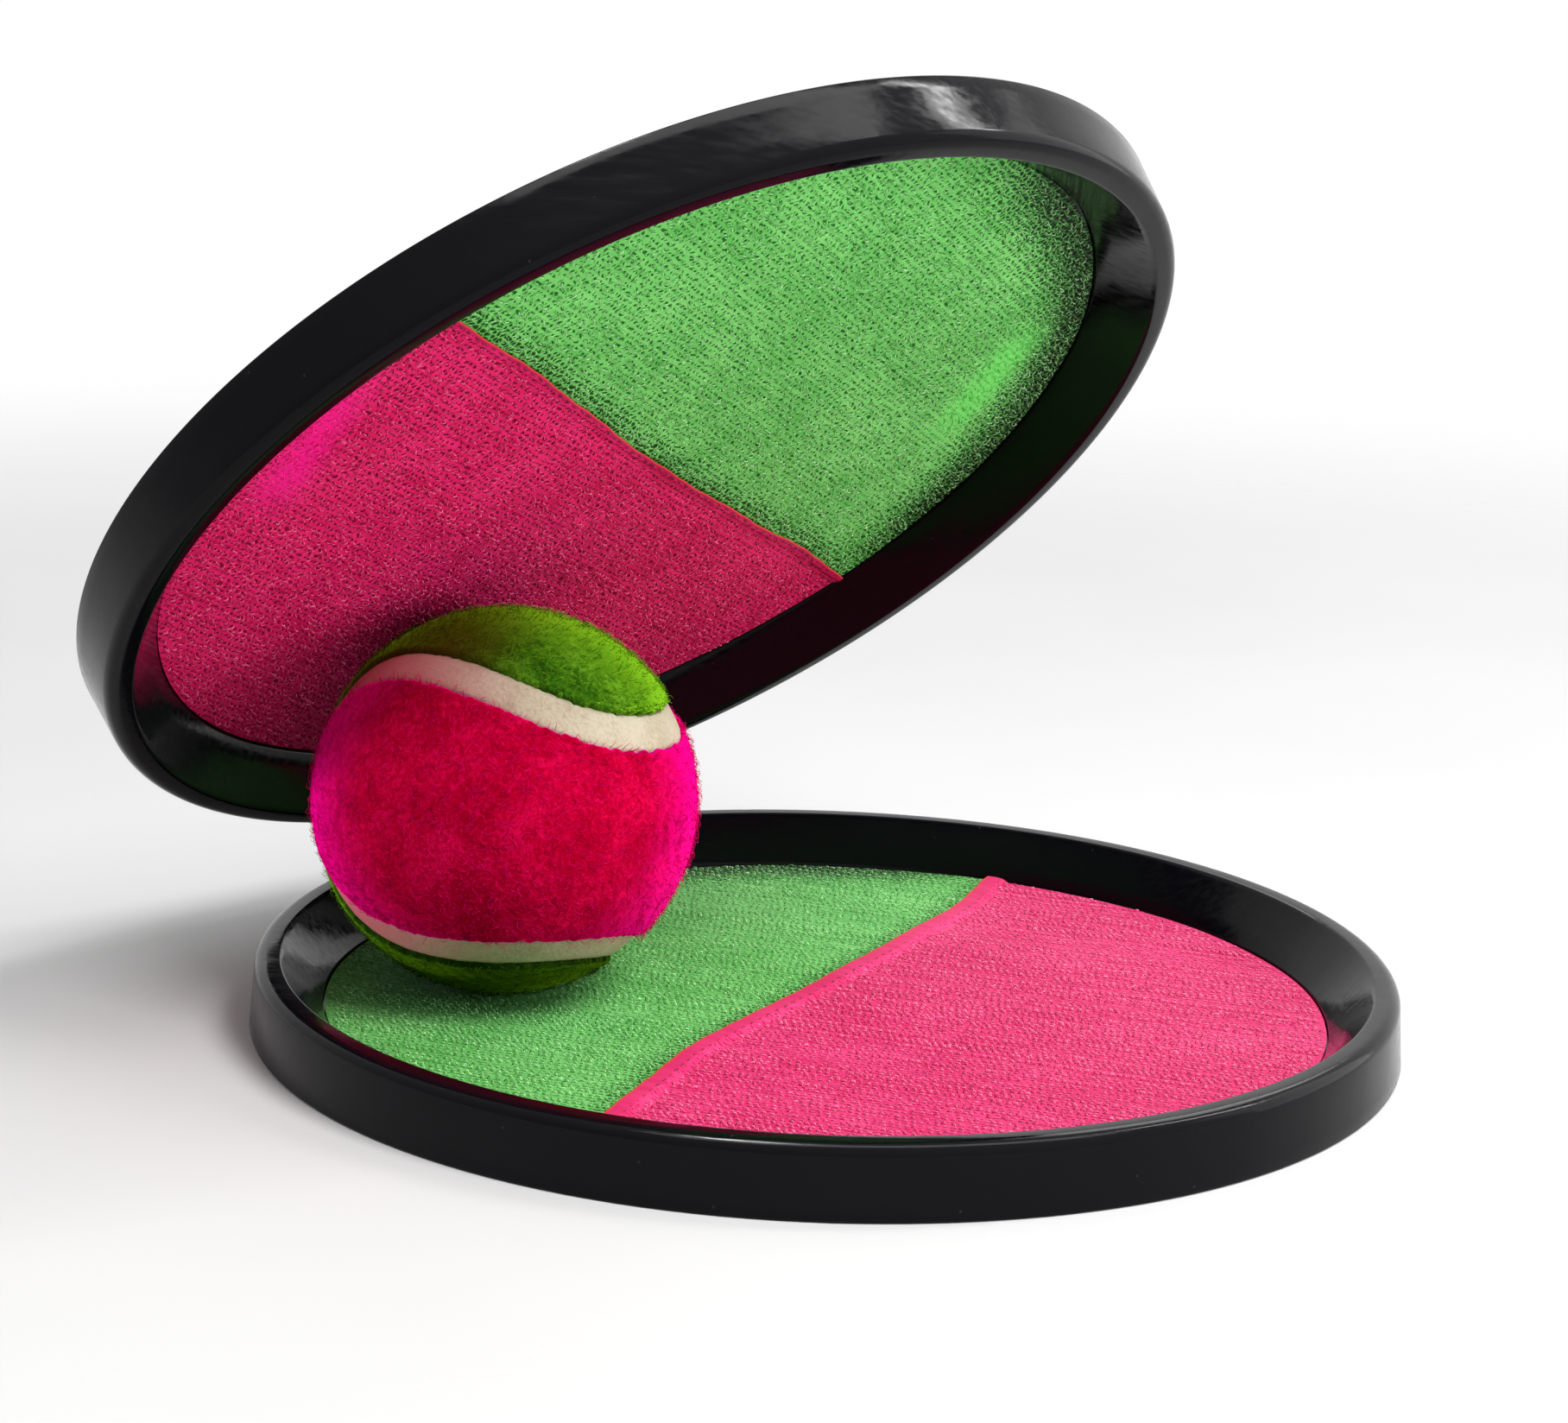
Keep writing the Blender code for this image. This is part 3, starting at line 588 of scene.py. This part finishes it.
def half_cloth(name, hem, side, plain, material, place):
    """One half of the cloth: for each t the section runs from the hem's edge to the round rim
    on top and back underneath, so that the sheet is closed; the pink one lifts near its edge
    over the green one and is folded round at the edge."""
    radius = FABRIC_RADIUS
    t = radius * np.sin(np.linspace(-math.pi / 2, math.pi / 2, CLOTH_SECTIONS))
    rim = np.sqrt(np.maximum(radius**2 - t**2, 0))
    line = hem.height(t) + (HEM_LAP if side < 0 else 0.0) * np.sqrt(1 + hem.slant(t) ** 2)
    line = np.clip(line, -rim, rim)
    reach = rim - line if side > 0 else line + rim
    # Steps off the hem in millimetres, on top and below: close where the pink hem is folded
    near = (0, 0.12, 0.3, 0.6, 1.0, 1.6, 2.4, 3.2, 4.0, 4.8, 5.4, 6.0, 6.8, 7.6, 8.6) if side > 0 else (0, 5)
    below = (0, 0.3, 0.6, 2.2, 2.5, 2.8, 3.1, 3.4, 9) if side > 0 else (0, 9)
    close, widest, fold = 10 * MM, 82 * MM, 0.55 * MM

    def section(near, far):
        """Plan, hem distance and rounding of one face: its steps stay as given close to the hem and are
        then spread to the rim; at the edge it is rounded as a quarter circle."""
        steps = np.concatenate([np.array(near) * MM, np.linspace(close, widest, far)])[None, :]
        room = np.maximum(reach[:, None] - close, 0)
        spread = close + (steps - close) * room / (widest - close)
        spread = np.maximum(spread, np.minimum(close, reach[:, None]))
        off = np.where(steps > close, spread, steps)
        n = line[:, None] + side * np.minimum(off, reach[:, None])
        xy = hem.plane(np.broadcast_to(t[:, None], n.shape), n)
        edge = hem.distance(xy)
        return xy, edge, np.sqrt(np.clip(1 - (1 - np.clip(edge / fold, 0, 1)) ** 2, 0, 1))

    xy, edge, round_off = section(near, 26)
    xy_under, edge_under, round_under = section(below, 3)
    top = CLOTH_TOP + ripple(xy[..., 0], xy[..., 1])
    under = np.full(edge_under.shape, CLOTH_BOTTOM)
    if side > 0:
        # A stitched groove, then down to the level of the backing past the plain strip
        middle = (HEM_TOP + HEM_UNDER) / 2
        groove = 0.22 * MM * np.exp(-(((edge - plain + 0.3 * MM) / (0.35 * MM)) ** 2))
        raised = middle + (HEM_TOP - middle) * round_off - groove
        top = top + (raised - CLOTH_TOP) * (1 - smoothstep(edge, plain - 0.1 * MM, plain + 1.1 * MM))
        lower = middle - (middle - HEM_UNDER) * round_under
        under = under + (lower - CLOTH_BOTTOM) * (1 - smoothstep(edge_under, 2.3 * MM, 3.2 * MM))
    points_top = np.concatenate([xy, top[..., None]], axis=-1)
    points_under = np.concatenate([xy_under, under[..., None]], axis=-1)
    points = np.concatenate([points_top, points_under[:, ::-1]], axis=1)
    edges = np.concatenate([edge, edge_under[:, ::-1]], axis=1)
    cloth = surface(name, points, material, wrap_columns=True, place=place, keep_flat=True, edge=edges)
    cloth.data.set_sharp_from_angle(angle=math.radians(60))
    # The flat half is the strip of reach over t, summed by trapezoids
    area = float((0.5 * (reach[1:] + reach[:-1]) * np.diff(t)).sum())
    return cloth, {"flat": (2 * radius, float(reach.max())), "area": area}


def field(name, template, faces, spots, turns, sizes, heights, material, place):
    """Copies of one small template set upright on many spots, each turned and scaled its own way."""
    c, s = np.cos(turns)[:, None], np.sin(turns)[:, None]
    x = template[None, :, 0] * sizes[:, None]
    y = template[None, :, 1] * sizes[:, None]
    points = np.stack([
        spots[:, 0:1] + x * c - y * s,
        spots[:, 1:2] + x * s + y * c,
        spots[:, 2:3] + template[None, :, 2] * heights[:, None],
    ], axis=-1).reshape(-1, 3)
    shift = (np.arange(len(spots)) * len(template))[:, None, None]
    return piece_from(name, points, (faces[None] + shift).reshape(-1, 3), material, place, keep_flat=True)


def tube_faces(rings, sides):
    """Triangles of an open tube along X whose points come ring by ring, each ring turning from Y to Z."""
    ids = np.arange(rings * sides).reshape(rings, sides)
    here, beside = ids[:-1], np.roll(ids, -1, axis=1)[:-1]
    ahead, across = ids[1:], np.roll(ids, -1, axis=1)[1:]
    return np.stack([here, beside, across, here, across, ahead], axis=-1).reshape(-1, 3)


def arch_template(height):
    """One hook, as high as 1: an arch of filament on four three-sided rings from foot to foot, each
    with its points at (cos a, sin a) times the strand, leant over by its slant, and closed below."""
    centres = np.array([(-0.50, -0.2), (-0.33, 0.86), (0.30, 0.92), (0.50, -0.2)]) * (HOOK_LENGTH, 1.0)
    slants = np.radians([80, 45, -40, -80])[:, None]
    ring = np.radians([90, 210, 330])
    up = np.sin(ring) * HOOK_STRAND
    x = centres[:, :1] - np.sin(slants) * up
    y = np.broadcast_to(np.cos(ring) * HOOK_STRAND, x.shape)
    z = centres[:, 1:] + np.cos(slants) * up / height
    points = np.stack([x, y, z], axis=-1).reshape(-1, 3)
    return points, np.vstack([tube_faces(4, 3), [(2, 1, 0), (9, 10, 11)]])


def hooks(name, hem, side, margin, turn, height, material, place, seed):
    """Hooks in staggered rows over one half of the cloth, a few of them leaning or missing; low hooks
    stand in better order than high ones."""
    rng = np.random.default_rng(seed)
    count = int(FABRIC_RADIUS / HOOK_ROW) + 2
    places = np.arange(-count, count + 1)
    u, v = np.meshgrid(places * HOOK_PITCH, places * HOOK_ROW)
    u = u + (places % 2)[:, None] * HOOK_PITCH / 2
    jitter = 0.10 if height < 0.3 * MM else 0.22
    u = u + rng.normal(0, jitter * HOOK_PITCH, u.shape)
    v = v + rng.normal(0, jitter * HOOK_ROW, v.shape)
    # Some rows stand higher than others, and no two start at the same place
    rise = np.broadcast_to(rng.uniform(0.35, 1.55, len(places))[:, None], u.shape).ravel()
    u = u + rng.uniform(-0.4, 0.4, len(places))[:, None] * HOOK_PITCH
    c, s = math.cos(turn), math.sin(turn)
    xy = np.stack([u * c - v * s, u * s + v * c], axis=-1).reshape(-1, 2)
    rim_gap, missing = 0.7 * MM, 0.04
    keep = np.linalg.norm(xy, axis=1) < FABRIC_RADIUS - rim_gap
    keep &= (hem.distance(xy) * side > margin) & (rng.random(len(xy)) > missing)
    xy = xy[keep]
    spots = np.column_stack([xy, CLOTH_TOP + ripple(xy[:, 0], xy[:, 1])])
    turns = turn + rng.normal(0, 4.5 * jitter - 0.2, len(xy))
    sizes = rng.uniform(0.8, 1.15, len(xy))
    heights = height * rng.uniform(0.75, 1.0, len(xy)) * rise[keep]
    return field(name, *arch_template(height), spots, turns, sizes, heights, material, place)


def stitches(name, hem, plain, material, place):
    """A row of straight stitches 2.7 mm apart in the hem: threads 2 mm long, thick as an ellipse and
    bowed as a parabola, so that both ends dip into the cloth."""
    t = np.arange(-76, 76, 2.7) * MM
    n = hem.height(t) + (plain - 0.3 * MM) * np.sqrt(1 + hem.slant(t) ** 2)
    xy = hem.plane(t, n)
    xy = xy[np.linalg.norm(xy, axis=1) < FABRIC_RADIUS - 2.5 * MM]
    spots = np.column_stack([xy, np.full(len(xy), HEM_TOP - 0.20 * MM)])
    way = math.atan2(hem.t_axis[1], hem.t_axis[0])
    rings, sides = 7, 6
    k = np.linspace(-1, 1, rings)[:, None]
    ring = np.linspace(0, 2 * math.pi, sides, endpoint=False)
    swell = 0.17 * MM * np.sqrt(np.maximum(1 - k**2, 0.0))
    x = np.broadcast_to(1.0 * MM * k, (rings, sides))
    z = 0.22 * MM * (1 - k**2) - 0.12 * MM + swell * np.sin(ring)
    template = np.stack([x, swell * np.cos(ring), z], axis=-1).reshape(-1, 3)
    turns = way + 0.12 * np.sin(np.arange(len(xy)) * 2.1)
    ones = np.ones(len(xy))
    return field(name, template, tube_faces(rings, sides), spots, turns, ones, ones, material, place)


def make_strap(name, place, material, node_name):
    """Elastic band swept along its path: flat on the back, up through each slot, into its pocket;
    its section is a flat loop whose faces rise and fall in ribs."""
    back = PLATE_BOTTOM - GAP - STRAP_THICKNESS / 2
    front = PLATE_TOP - STRAP_THICKNESS / 2
    start, stop = SLOT_SPACING / 2 - SLOT_WIDTH * 3 / 8, SLOT_SPACING / 2 + SLOT_WIDTH * 3 / 8
    end = SLOT_SPACING / 2 + SLOT_WIDTH / 2 + STRAP_TAIL
    outer = np.concatenate([np.linspace(-end, -stop, 4), np.linspace(-stop, -start, 9)[1:]])
    x = np.concatenate([outer, np.linspace(-start, start, 16)[1:-1], -outer[::-1]])
    z = back + (front - back) * smoothstep(np.abs(x), start, stop)
    width = np.linspace(-1, 1, 81)
    rib = 0.5 + 0.5 * np.cos(width * math.pi * 20)
    half = STRAP_THICKNESS / 2 * (0.80 + 0.18 * rib) * np.sqrt(np.clip(1 - np.abs(width) ** 14, 0, 1))
    y = np.concatenate([width, width[::-1]]) * STRAP_WIDTH / 2 + STRAP_OFFSET
    thick = np.concatenate([half, -half[::-1]])
    taper = np.ones(len(x))
    taper[0] = taper[-1] = 0.0
    points = np.stack([
        np.broadcast_to(x[:, None], (len(x), len(y))),
        np.broadcast_to(y[None, :], (len(x), len(y))),
        z[:, None] + thick[None, :] * taper[:, None],
    ], axis=-1)
    strap = surface(name, points, material, wrap_columns=True, place=place, keep_flat=True)
    strap.data.set_sharp_from_angle(angle=math.radians(50))
    return settle(strap, replaces=[node_name])


# Ball, in its own frame

def seam_course(t):
    """Closed seam on a unit ball, (w cos t + n cos 3t, w sin t - n sin 3t, r sin 2t), and the way across
    it to the green felt."""
    wide, narrow = 1 - SEAM_BEND, SEAM_BEND
    rise = 2 * math.sqrt(wide * narrow)

    def at(u):
        x = wide * np.cos(u) + narrow * np.cos(3 * u)
        y = wide * np.sin(u) - narrow * np.sin(3 * u)
        return np.stack([x, y, rise * np.sin(2 * u)], axis=-1)

    course = at(t)
    across = np.cross(at(t + 1e-3) - at(t - 1e-3), course)
    return course, across / np.linalg.norm(across, axis=-1, keepdims=True)


def rough(points, size, seed):
    """Smooth pseudo-random field from -1 to 1 over points, with lumps of the given size: the mean of
    seven sine waves that run each its own way."""
    rng = np.random.default_rng(seed)
    total = np.zeros(points.shape[:-1])
    waves = 7
    for _ in range(waves):
        way = rng.normal(0, 1, 3)
        way *= rng.uniform(0.7, 1.5) * 2 * math.pi / size / np.linalg.norm(way)
        total += np.sin(points @ way + rng.uniform(0, 2 * math.pi))
    return total / waves * 1.6


def askew(points):
    """The felt as it was glued, a little askew: on the upper right, points turn about the upright
    axis by up to 18 degrees, falling off as a bell 20 degrees wide round the ball."""
    frame_of_ball = np.array(BALL_EULER.to_matrix())
    turned = points @ frame_of_ball.T
    azimuth = np.degrees(np.arctan2(turned[..., 1], turned[..., 0]))
    above = smoothstep(turned[..., 2] / BALL_RADIUS, -0.2, 0.2)
    turn = np.radians(18 * np.exp(-(((azimuth + 15) / 20) ** 2)) * above)
    x = turned[..., 0] * np.cos(turn) - turned[..., 1] * np.sin(turn)
    y = turned[..., 0] * np.sin(turn) + turned[..., 1] * np.cos(turn)
    return np.stack([x, y, turned[..., 2]], axis=-1) @ frame_of_ball


def felt_panel(name, side, material, node_name):
    """One felt panel: for each t an arc crosses the panel from the seam to its mirror point on
    the seam, outside at the ball's radius and back underneath; the edge is rounded and ragged."""
    first, mirror = (-math.pi / 4, 1.5 * math.pi) if side > 0 else (math.pi / 4, 0.5 * math.pi)
    t = first + (np.linspace(0, 1, PANEL_ARCS) * math.pi)
    edge = (SEAM_WIDTH / 2 + 0.12 * MM) / BALL_RADIUS

    def border(u, sign):
        """Unit ways along the cut edge of the panel, raggedly off the seam."""
        course, across = seam_course(u)
        coarse = 0.26 * MM * rough(course * BALL_RADIUS, 2.6 * MM, 5)
        fine = 0.24 * MM * rough(course * BALL_RADIUS, 1.2 * MM, 6)
        angle = (edge + (coarse + fine) / BALL_RADIUS)[:, None]
        return course * np.cos(angle) + sign * across * np.sin(angle)

    sign = panel_sign(side)
    start, stop = border(t, sign), border(mirror - t, sign)
    k = 0.5 - 0.5 * np.cos(math.pi * np.linspace(0, 1, 62))
    # Each arc is the great circle between its two ends
    angle = np.maximum(np.arccos(np.clip((start * stop).sum(-1), -1, 1)), 1e-6)[:, None]
    weight_a, weight_b = np.sin((1 - k) * angle) / np.sin(angle), np.sin(k * angle) / np.sin(angle)
    ways = weight_a[..., None] * start[:, None] + weight_b[..., None] * stop[:, None]
    ways /= np.linalg.norm(ways, axis=-1, keepdims=True)
    inset = np.minimum(k, 1 - k) * angle * BALL_RADIUS
    along = np.minimum(np.arange(len(t)), np.arange(len(t))[::-1])[:, None] * 0.35 * MM
    inset = np.minimum(inset, along)
    bevel = np.sqrt(np.clip(1 - (1 - np.clip(inset / (0.9 * MM), 0, 1)) ** 2, 0, 1))
    outer = BALL_RADIUS - 1.0 * MM * (1 - bevel) - 0.12 * MM
    outer = outer + 0.07 * MM * rough(ways * BALL_RADIUS, 2.4 * MM, 8)
    outer = outer + 0.05 * MM * rough(ways * BALL_RADIUS, 1.0 * MM, 9)
    inner = (ways * (BALL_RADIUS - FELT_THICKNESS))[:, [61, 45, 31, 16, 0]]
    points = np.concatenate([ways * outer[..., None], inner], axis=1)
    panel = surface(name, askew(points), material, wrap_columns=True, place=BALL_PLACE)
    return settle(panel, replaces=[node_name])


def panel_sign(side):
    """Whether the panel lies on the green side of the seam: +1, or on the pink side: -1."""
    _, across = seam_course(np.array([math.pi / 4 if side > 0 else 3 * math.pi / 4]))
    return 1.0 if across[0][2] * side > 0 else -1.0


def seam_band(material):
    """The rubber seam: a low crown, falling as the fourth power of the way across, between the felt
    edges and swept along the closed seam."""
    t = np.linspace(0, 2 * math.pi, SEAM_STEPS, endpoint=False)
    course, across = seam_course(t)
    w = np.linspace(-1, 1, 9)
    half = SEAM_WIDTH / 2 + 0.25 * MM
    top = BALL_RADIUS - 0.75 * MM - 0.25 * MM * w**4
    bottom = np.full(len(w), BALL_RADIUS - FELT_THICKNESS + 0.1 * MM)
    angle = (np.concatenate([w, w[::-1]]) * half / BALL_RADIUS)[None, :, None]
    points = course[:, None] * np.cos(angle) + across[:, None] * np.sin(angle)
    points = points * np.concatenate([top, bottom])[None, :, None]
    points = points * (1 + 0.0012 * rough(points, 3.0 * MM, 12))[..., None]
    points = askew(points)
    seam = surface("ball_seam_rubber", points, material, wrap_rows=True, wrap_columns=True, place=BALL_PLACE)
    return settle(seam, replaces=["ball_seam"])


def nap(name, side, count, material, seed):
    """Loose fibres of the felt: thin bent spikes that lie along the nap and lift at their tips."""
    rng = np.random.default_rng(seed)
    ways = rng.normal(0, 1, (count * 4, 3))
    ways /= np.linalg.norm(ways, axis=1, keepdims=True)
    # Only the ways on this panel's side of the nearest point of the seam are kept
    course, across = seam_course(np.linspace(0, 2 * math.pi, 720, endpoint=False))
    nearest = (ways @ course.T).argmax(axis=1)
    off = np.arcsin(np.clip((ways * across[nearest]).sum(-1), -1, 1)) * BALL_RADIUS * panel_sign(side)
    ways = ways[off > SEAM_WIDTH / 2 + 0.1 * MM][:count]
    lay = np.cross(ways, np.array([0.3, 0.2, 0.93])) + rng.normal(0, 0.55, ways.shape)
    lay -= (lay * ways).sum(-1, keepdims=True) * ways
    lay /= np.linalg.norm(lay, axis=1, keepdims=True)
    other = np.cross(ways, lay)
    size = rng.uniform(0.9, 2.1, len(ways))[:, None] * MM
    lift = rng.uniform(0.05, 0.60, len(ways))[:, None]
    foot = ways * (BALL_RADIUS - 0.35 * MM)
    middle = foot + lay * size * 0.5 + ways * size * lift * 0.75 + ways * 0.2 * MM
    tip = foot + lay * size + ways * size * lift + ways * 0.1 * MM
    tip = tip + other * size * rng.normal(0, 0.2, (len(ways), 1))
    # Fibres that stand off the ball are few, and none stands where a dish presses on it
    downward = Vector((0.0, 0.0, -1.0))
    pressed = np.array([tuple(downward), tuple(LEAN.to_3x3() @ downward)]) @ np.array(BALL_EULER.to_matrix())
    free = 1 - smoothstep((ways @ pressed.T).max(axis=1), 0.80, 0.93)
    limit = BALL_RADIUS + (0.35 + 0.9 * free * rng.random(len(ways)) ** 2)[:, None] * MM
    tip *= np.minimum(1, limit / np.linalg.norm(tip, axis=1, keepdims=True))
    rings = []
    for centre, radius in ((foot, 0.055 * MM), (middle, 0.045 * MM)):
        for a in (0.0, 2.1, 4.2):
            rings.append(centre + (ways * math.cos(a) + other * math.sin(a)) * radius)
    points = np.stack(rings + [tip], axis=1).reshape(-1, 3)
    sides = [(0, 3, 4), (0, 4, 1), (1, 4, 5), (1, 5, 2), (2, 5, 3), (2, 3, 0)]
    faces = np.array(sides + [(3, 6, 4), (4, 6, 5), (5, 6, 3), (0, 1, 2)])
    shift = (np.arange(len(ways)) * 7)[:, None, None]
    made = piece_from(name, askew(points), (faces[None] + shift).reshape(-1, 3), material, BALL_PLACE)
    return settle(made)


# Build

plastic = moulded_plastic()
elastic = woven_elastic()
green_nap = felt_nap("green_needled_felt", "#16320A", "#2F5C0C", "#5C8A1E", "#86C822", "#A8E820", "#3A2208")
pink_nap = felt_nap("pink_needled_felt", "#840018", "#A60028", "#CC0844", "#FF0098", "#FF30A8")

# Each dish: its place, hem, plain width of the hem, way of the knit rows, height of the hooks, and the
# number that shifts the hem's wave
dishes = (
    ("lower", LOWER_PLACE, LOWER_HEM, 3.1 * MM, math.radians(61), 0.26 * MM, 1.0),
    ("upper", UPPER_PLACE, UPPER_HEM, 0.9 * MM, math.radians(-33), 0.34 * MM, 4.0),
)
# Each half: how finely the streaks run, the radius of a pit, then the colours of the pits, of the cloth
# and of the hooks, both from dark to light, and of the cloth lit through a slot
halves = {
    ("lower", "green"): ((70.0, 0.32 * MM, "#3A8C38", "#549E4C", "#70B866"), ("#5EAA58", "#AAE69E"), None),
    ("lower", "pink"): ((70.0, 0.32 * MM, "#B01248", "#BE205A", "#D23A72"), ("#CA346E", "#FF8CB2"), None),
    ("upper", "green"): (
        (160.0, 0.38 * MM, "#1E6A20", "#62C25A", "#82E076"), ("#70C866", "#C4F8B8"), "#78F070"
    ),
    ("upper", "pink"): (
        (160.0, 0.44 * MM, "#84083A", "#D4185C", "#F02C76"), ("#CC1A58", "#FF70A4"), "#FF1C94"
    ),
}
# The slot shines through pink a little further out, and hooks start this far off the hem
PINK_SHINE, PINK_MARGIN, GREEN_MARGIN = 6.0 * MM, 0.2 * MM, 0.5 * MM
for dish, place, course, plain, turn, height, seed in dishes:
    make_dish(f"{dish}_moulding", place, plastic, f"{dish}_dish")
    make_strap(f"{dish}_elastic", place, elastic, f"{dish}_strap")
    hem = Hem(course, seed)
    for colour, side in (("green", -1), ("pink", 1)):
        cloth_codes, hook_codes, lit = halves[dish, colour]
        slot_x = side * SLOT_SPACING / 2 + (PINK_SHINE if side > 0 else 0.0)
        strip = plain if side > 0 else None
        knit = hook_cloth(f"{dish}_{colour}_knit_polyester", *cloth_codes, lit, slot_x, turn, strip)
        cloth, cut = half_cloth(f"{dish}_{colour}_cloth", hem, side, plain, knit, place)
        settle(cloth, replaces=[f"{dish}_{colour}_fabric"])
        nylon = hook_filament(f"{dish}_{colour}_nylon_hooks", *hook_codes, lit, slot_x)
        margin = plain + PINK_MARGIN if side > 0 else GREEN_MARGIN
        draw = int(seed * 10) + (side > 0)
        pile = hooks(f"{dish}_{colour}_hooks", hem, side, margin, turn, height, nylon, place, draw)
        on_cloth = [settle(pile)]
        if side > 0:
            thread = hook_filament(f"{dish}_polyester_thread", "#5E0628", "#A01A4A", lit, slot_x)
            row = stitches(f"{dish}_hem_stitches", hem, plain, thread, place)
            on_cloth.append(settle(row))

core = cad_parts["ball_core"]
core.data.materials.clear()
core.data.materials.append(core_rubber())
for side in (1, -1):
    green = panel_sign(side) > 0
    colour, material = ("green", green_nap) if green else ("pink", pink_nap)
    felt_panel(f"ball_{colour}_panel", side, material, f"ball_{colour}_felt")
    nap(f"ball_{colour}_nap", side, 7000, material, 30 + side)
seam_band(cream_rubber())


# Stage, light and camera

def make_floor():
    """Round floor sheet under the set: rings of points r (cos a, sin a), joined at the middle."""
    rings = np.array([0.0, 0.1, 0.25, 0.5, 0.9])[:, None]
    turns = np.linspace(0, 2 * math.pi, 64, endpoint=False)[None, :]
    level = np.full((len(rings), turns.size), -0.05 * MM)
    points = np.stack([rings * np.cos(turns), rings * np.sin(turns), level], axis=-1)
    floor = surface("floor", points, pale_paper(), wrap_columns=True)
    if floor.data.polygons[0].normal.z < 0:
        floor.data.flip_normals()


def add_light(name, place, target, size, power, in_gloss=True, in_diffuse=True):
    """A softbox: an area light of a width and height in metres and a power in watts, aimed at a target."""
    lamp = bpy.data.lights.new(name, "AREA")
    lamp.shape = "RECTANGLE"
    lamp.size, lamp.size_y = size
    lamp.energy = power
    made = bpy.data.objects.new(name, lamp)
    bpy.context.scene.collection.objects.link(made)
    made.location = place
    made.rotation_euler = (Vector(target) - Vector(place)).to_track_quat("-Z", "Y").to_euler()
    made.visible_glossy = in_gloss
    made.visible_diffuse = in_diffuse


def set_world():
    """White for the camera; for all else a soft light that is brightest above and to the right."""
    world = bpy.data.worlds.new("studio")
    bpy.context.scene.world = world
    world.use_nodes = True
    tree = world.node_tree
    background = tree.nodes["Background"]
    way = node(tree, "TexCoord").outputs["Generated"]
    brightest = {0: way, 1: (0.62, 0.30, 0.72)}
    turned = node(tree, "VectorMath", brightest, operation="DOT_PRODUCT").outputs["Value"]
    diffuse = {"Value": turned, "From Min": -0.35, "From Max": 0.9, "To Min": 0.04, "To Max": 0.90}
    mirrored = {"Value": turned, "From Min": -0.7, "From Max": 0.6, "To Min": 0.50, "To Max": 1.15}
    rays = node(tree, "LightPath").outputs
    kinds = {0: rays["Is Glossy Ray"], 1: rays["Is Transmission Ray"]}
    gloss = node(tree, "Math", kinds, operation="MAXIMUM")
    levels = [node(tree, "MapRange", level) for level in (diffuse, mirrored)]
    bounced = node(tree, "Mix", {"Factor": gloss, "A": levels[0], "B": levels[1]})
    strength = node(tree, "Mix", {"Factor": rays["Is Camera Ray"], "A": bounced, "B": 1.0})
    feed(tree, background.inputs["Color"], "#FFFFFF")
    feed(tree, background.inputs["Strength"], strength)


def set_camera():
    """The camera as fitted to the photograph: its turn, its place, and its focal length in pixels."""
    yaw, pitch, roll = math.radians(0.815), math.radians(-13.18), math.radians(-1.953)
    turned = Matrix.Rotation(yaw, 3, "Z") @ Matrix.Rotation(pitch, 3, "X") @ Matrix.Rotation(roll, 3, "Y")
    right, forward, up = turned.col[0], turned.col[1], turned.col[2]
    lens = bpy.data.cameras.new("camera")
    lens.sensor_width = 36.0
    focal_pixels, frame_pixels = 4368.66, 1816
    lens.lens = focal_pixels / frame_pixels * lens.sensor_width
    lens.clip_start = 0.01
    made = bpy.data.objects.new("camera", lens)
    bpy.context.scene.collection.objects.link(made)
    basis = Matrix((right, up, -forward)).transposed()
    made.matrix_world = Matrix.Translation((12.1 * MM, -594.39 * MM, 190.89 * MM)) @ basis.to_4x4()
    bpy.context.scene.camera = made


make_floor()
add_light("key", (0.52, -0.46, 0.92), (0.0, 0.0, 0.04), (0.5, 0.5), 14.6, in_gloss=False)
add_light("right_side", (0.95, -0.30, 0.16), (0.0, 0.0, 0.08), (0.5, 0.5), 5.0, in_gloss=False)
add_light("left_side", (-0.95, -0.04, 0.045), (0.0, 0.0, 0.045), (0.4, 0.04), 6.5, in_gloss=False)
add_light("strip", (0.75, 0.30, 0.95), (0.0, 0.0, 0.12), (0.07, 0.45), 3.2)
add_light("right_panel", (1.1, 0.35, 0.45), (0.0, 0.0, 0.1), (0.9, 0.9), 3.7, in_diffuse=False)
add_light("back_panel", (0.0, 0.85, 0.85), (0.0, 0.0, 0.0), (1.2, 0.5), 8.5, in_diffuse=False)
add_light("overhead", (0.10, -0.25, 1.1), (0.0, -0.05, 0.0), (1.3, 0.3), 7.8, in_diffuse=False)
add_light("sparkle", (-0.17, -0.22, 1.05), (0.0, -0.08, 0.0), (0.12, 0.22), 8.0, in_diffuse=False)
set_world()
set_camera()
bpy.context.scene.view_settings.view_transform = "Standard"
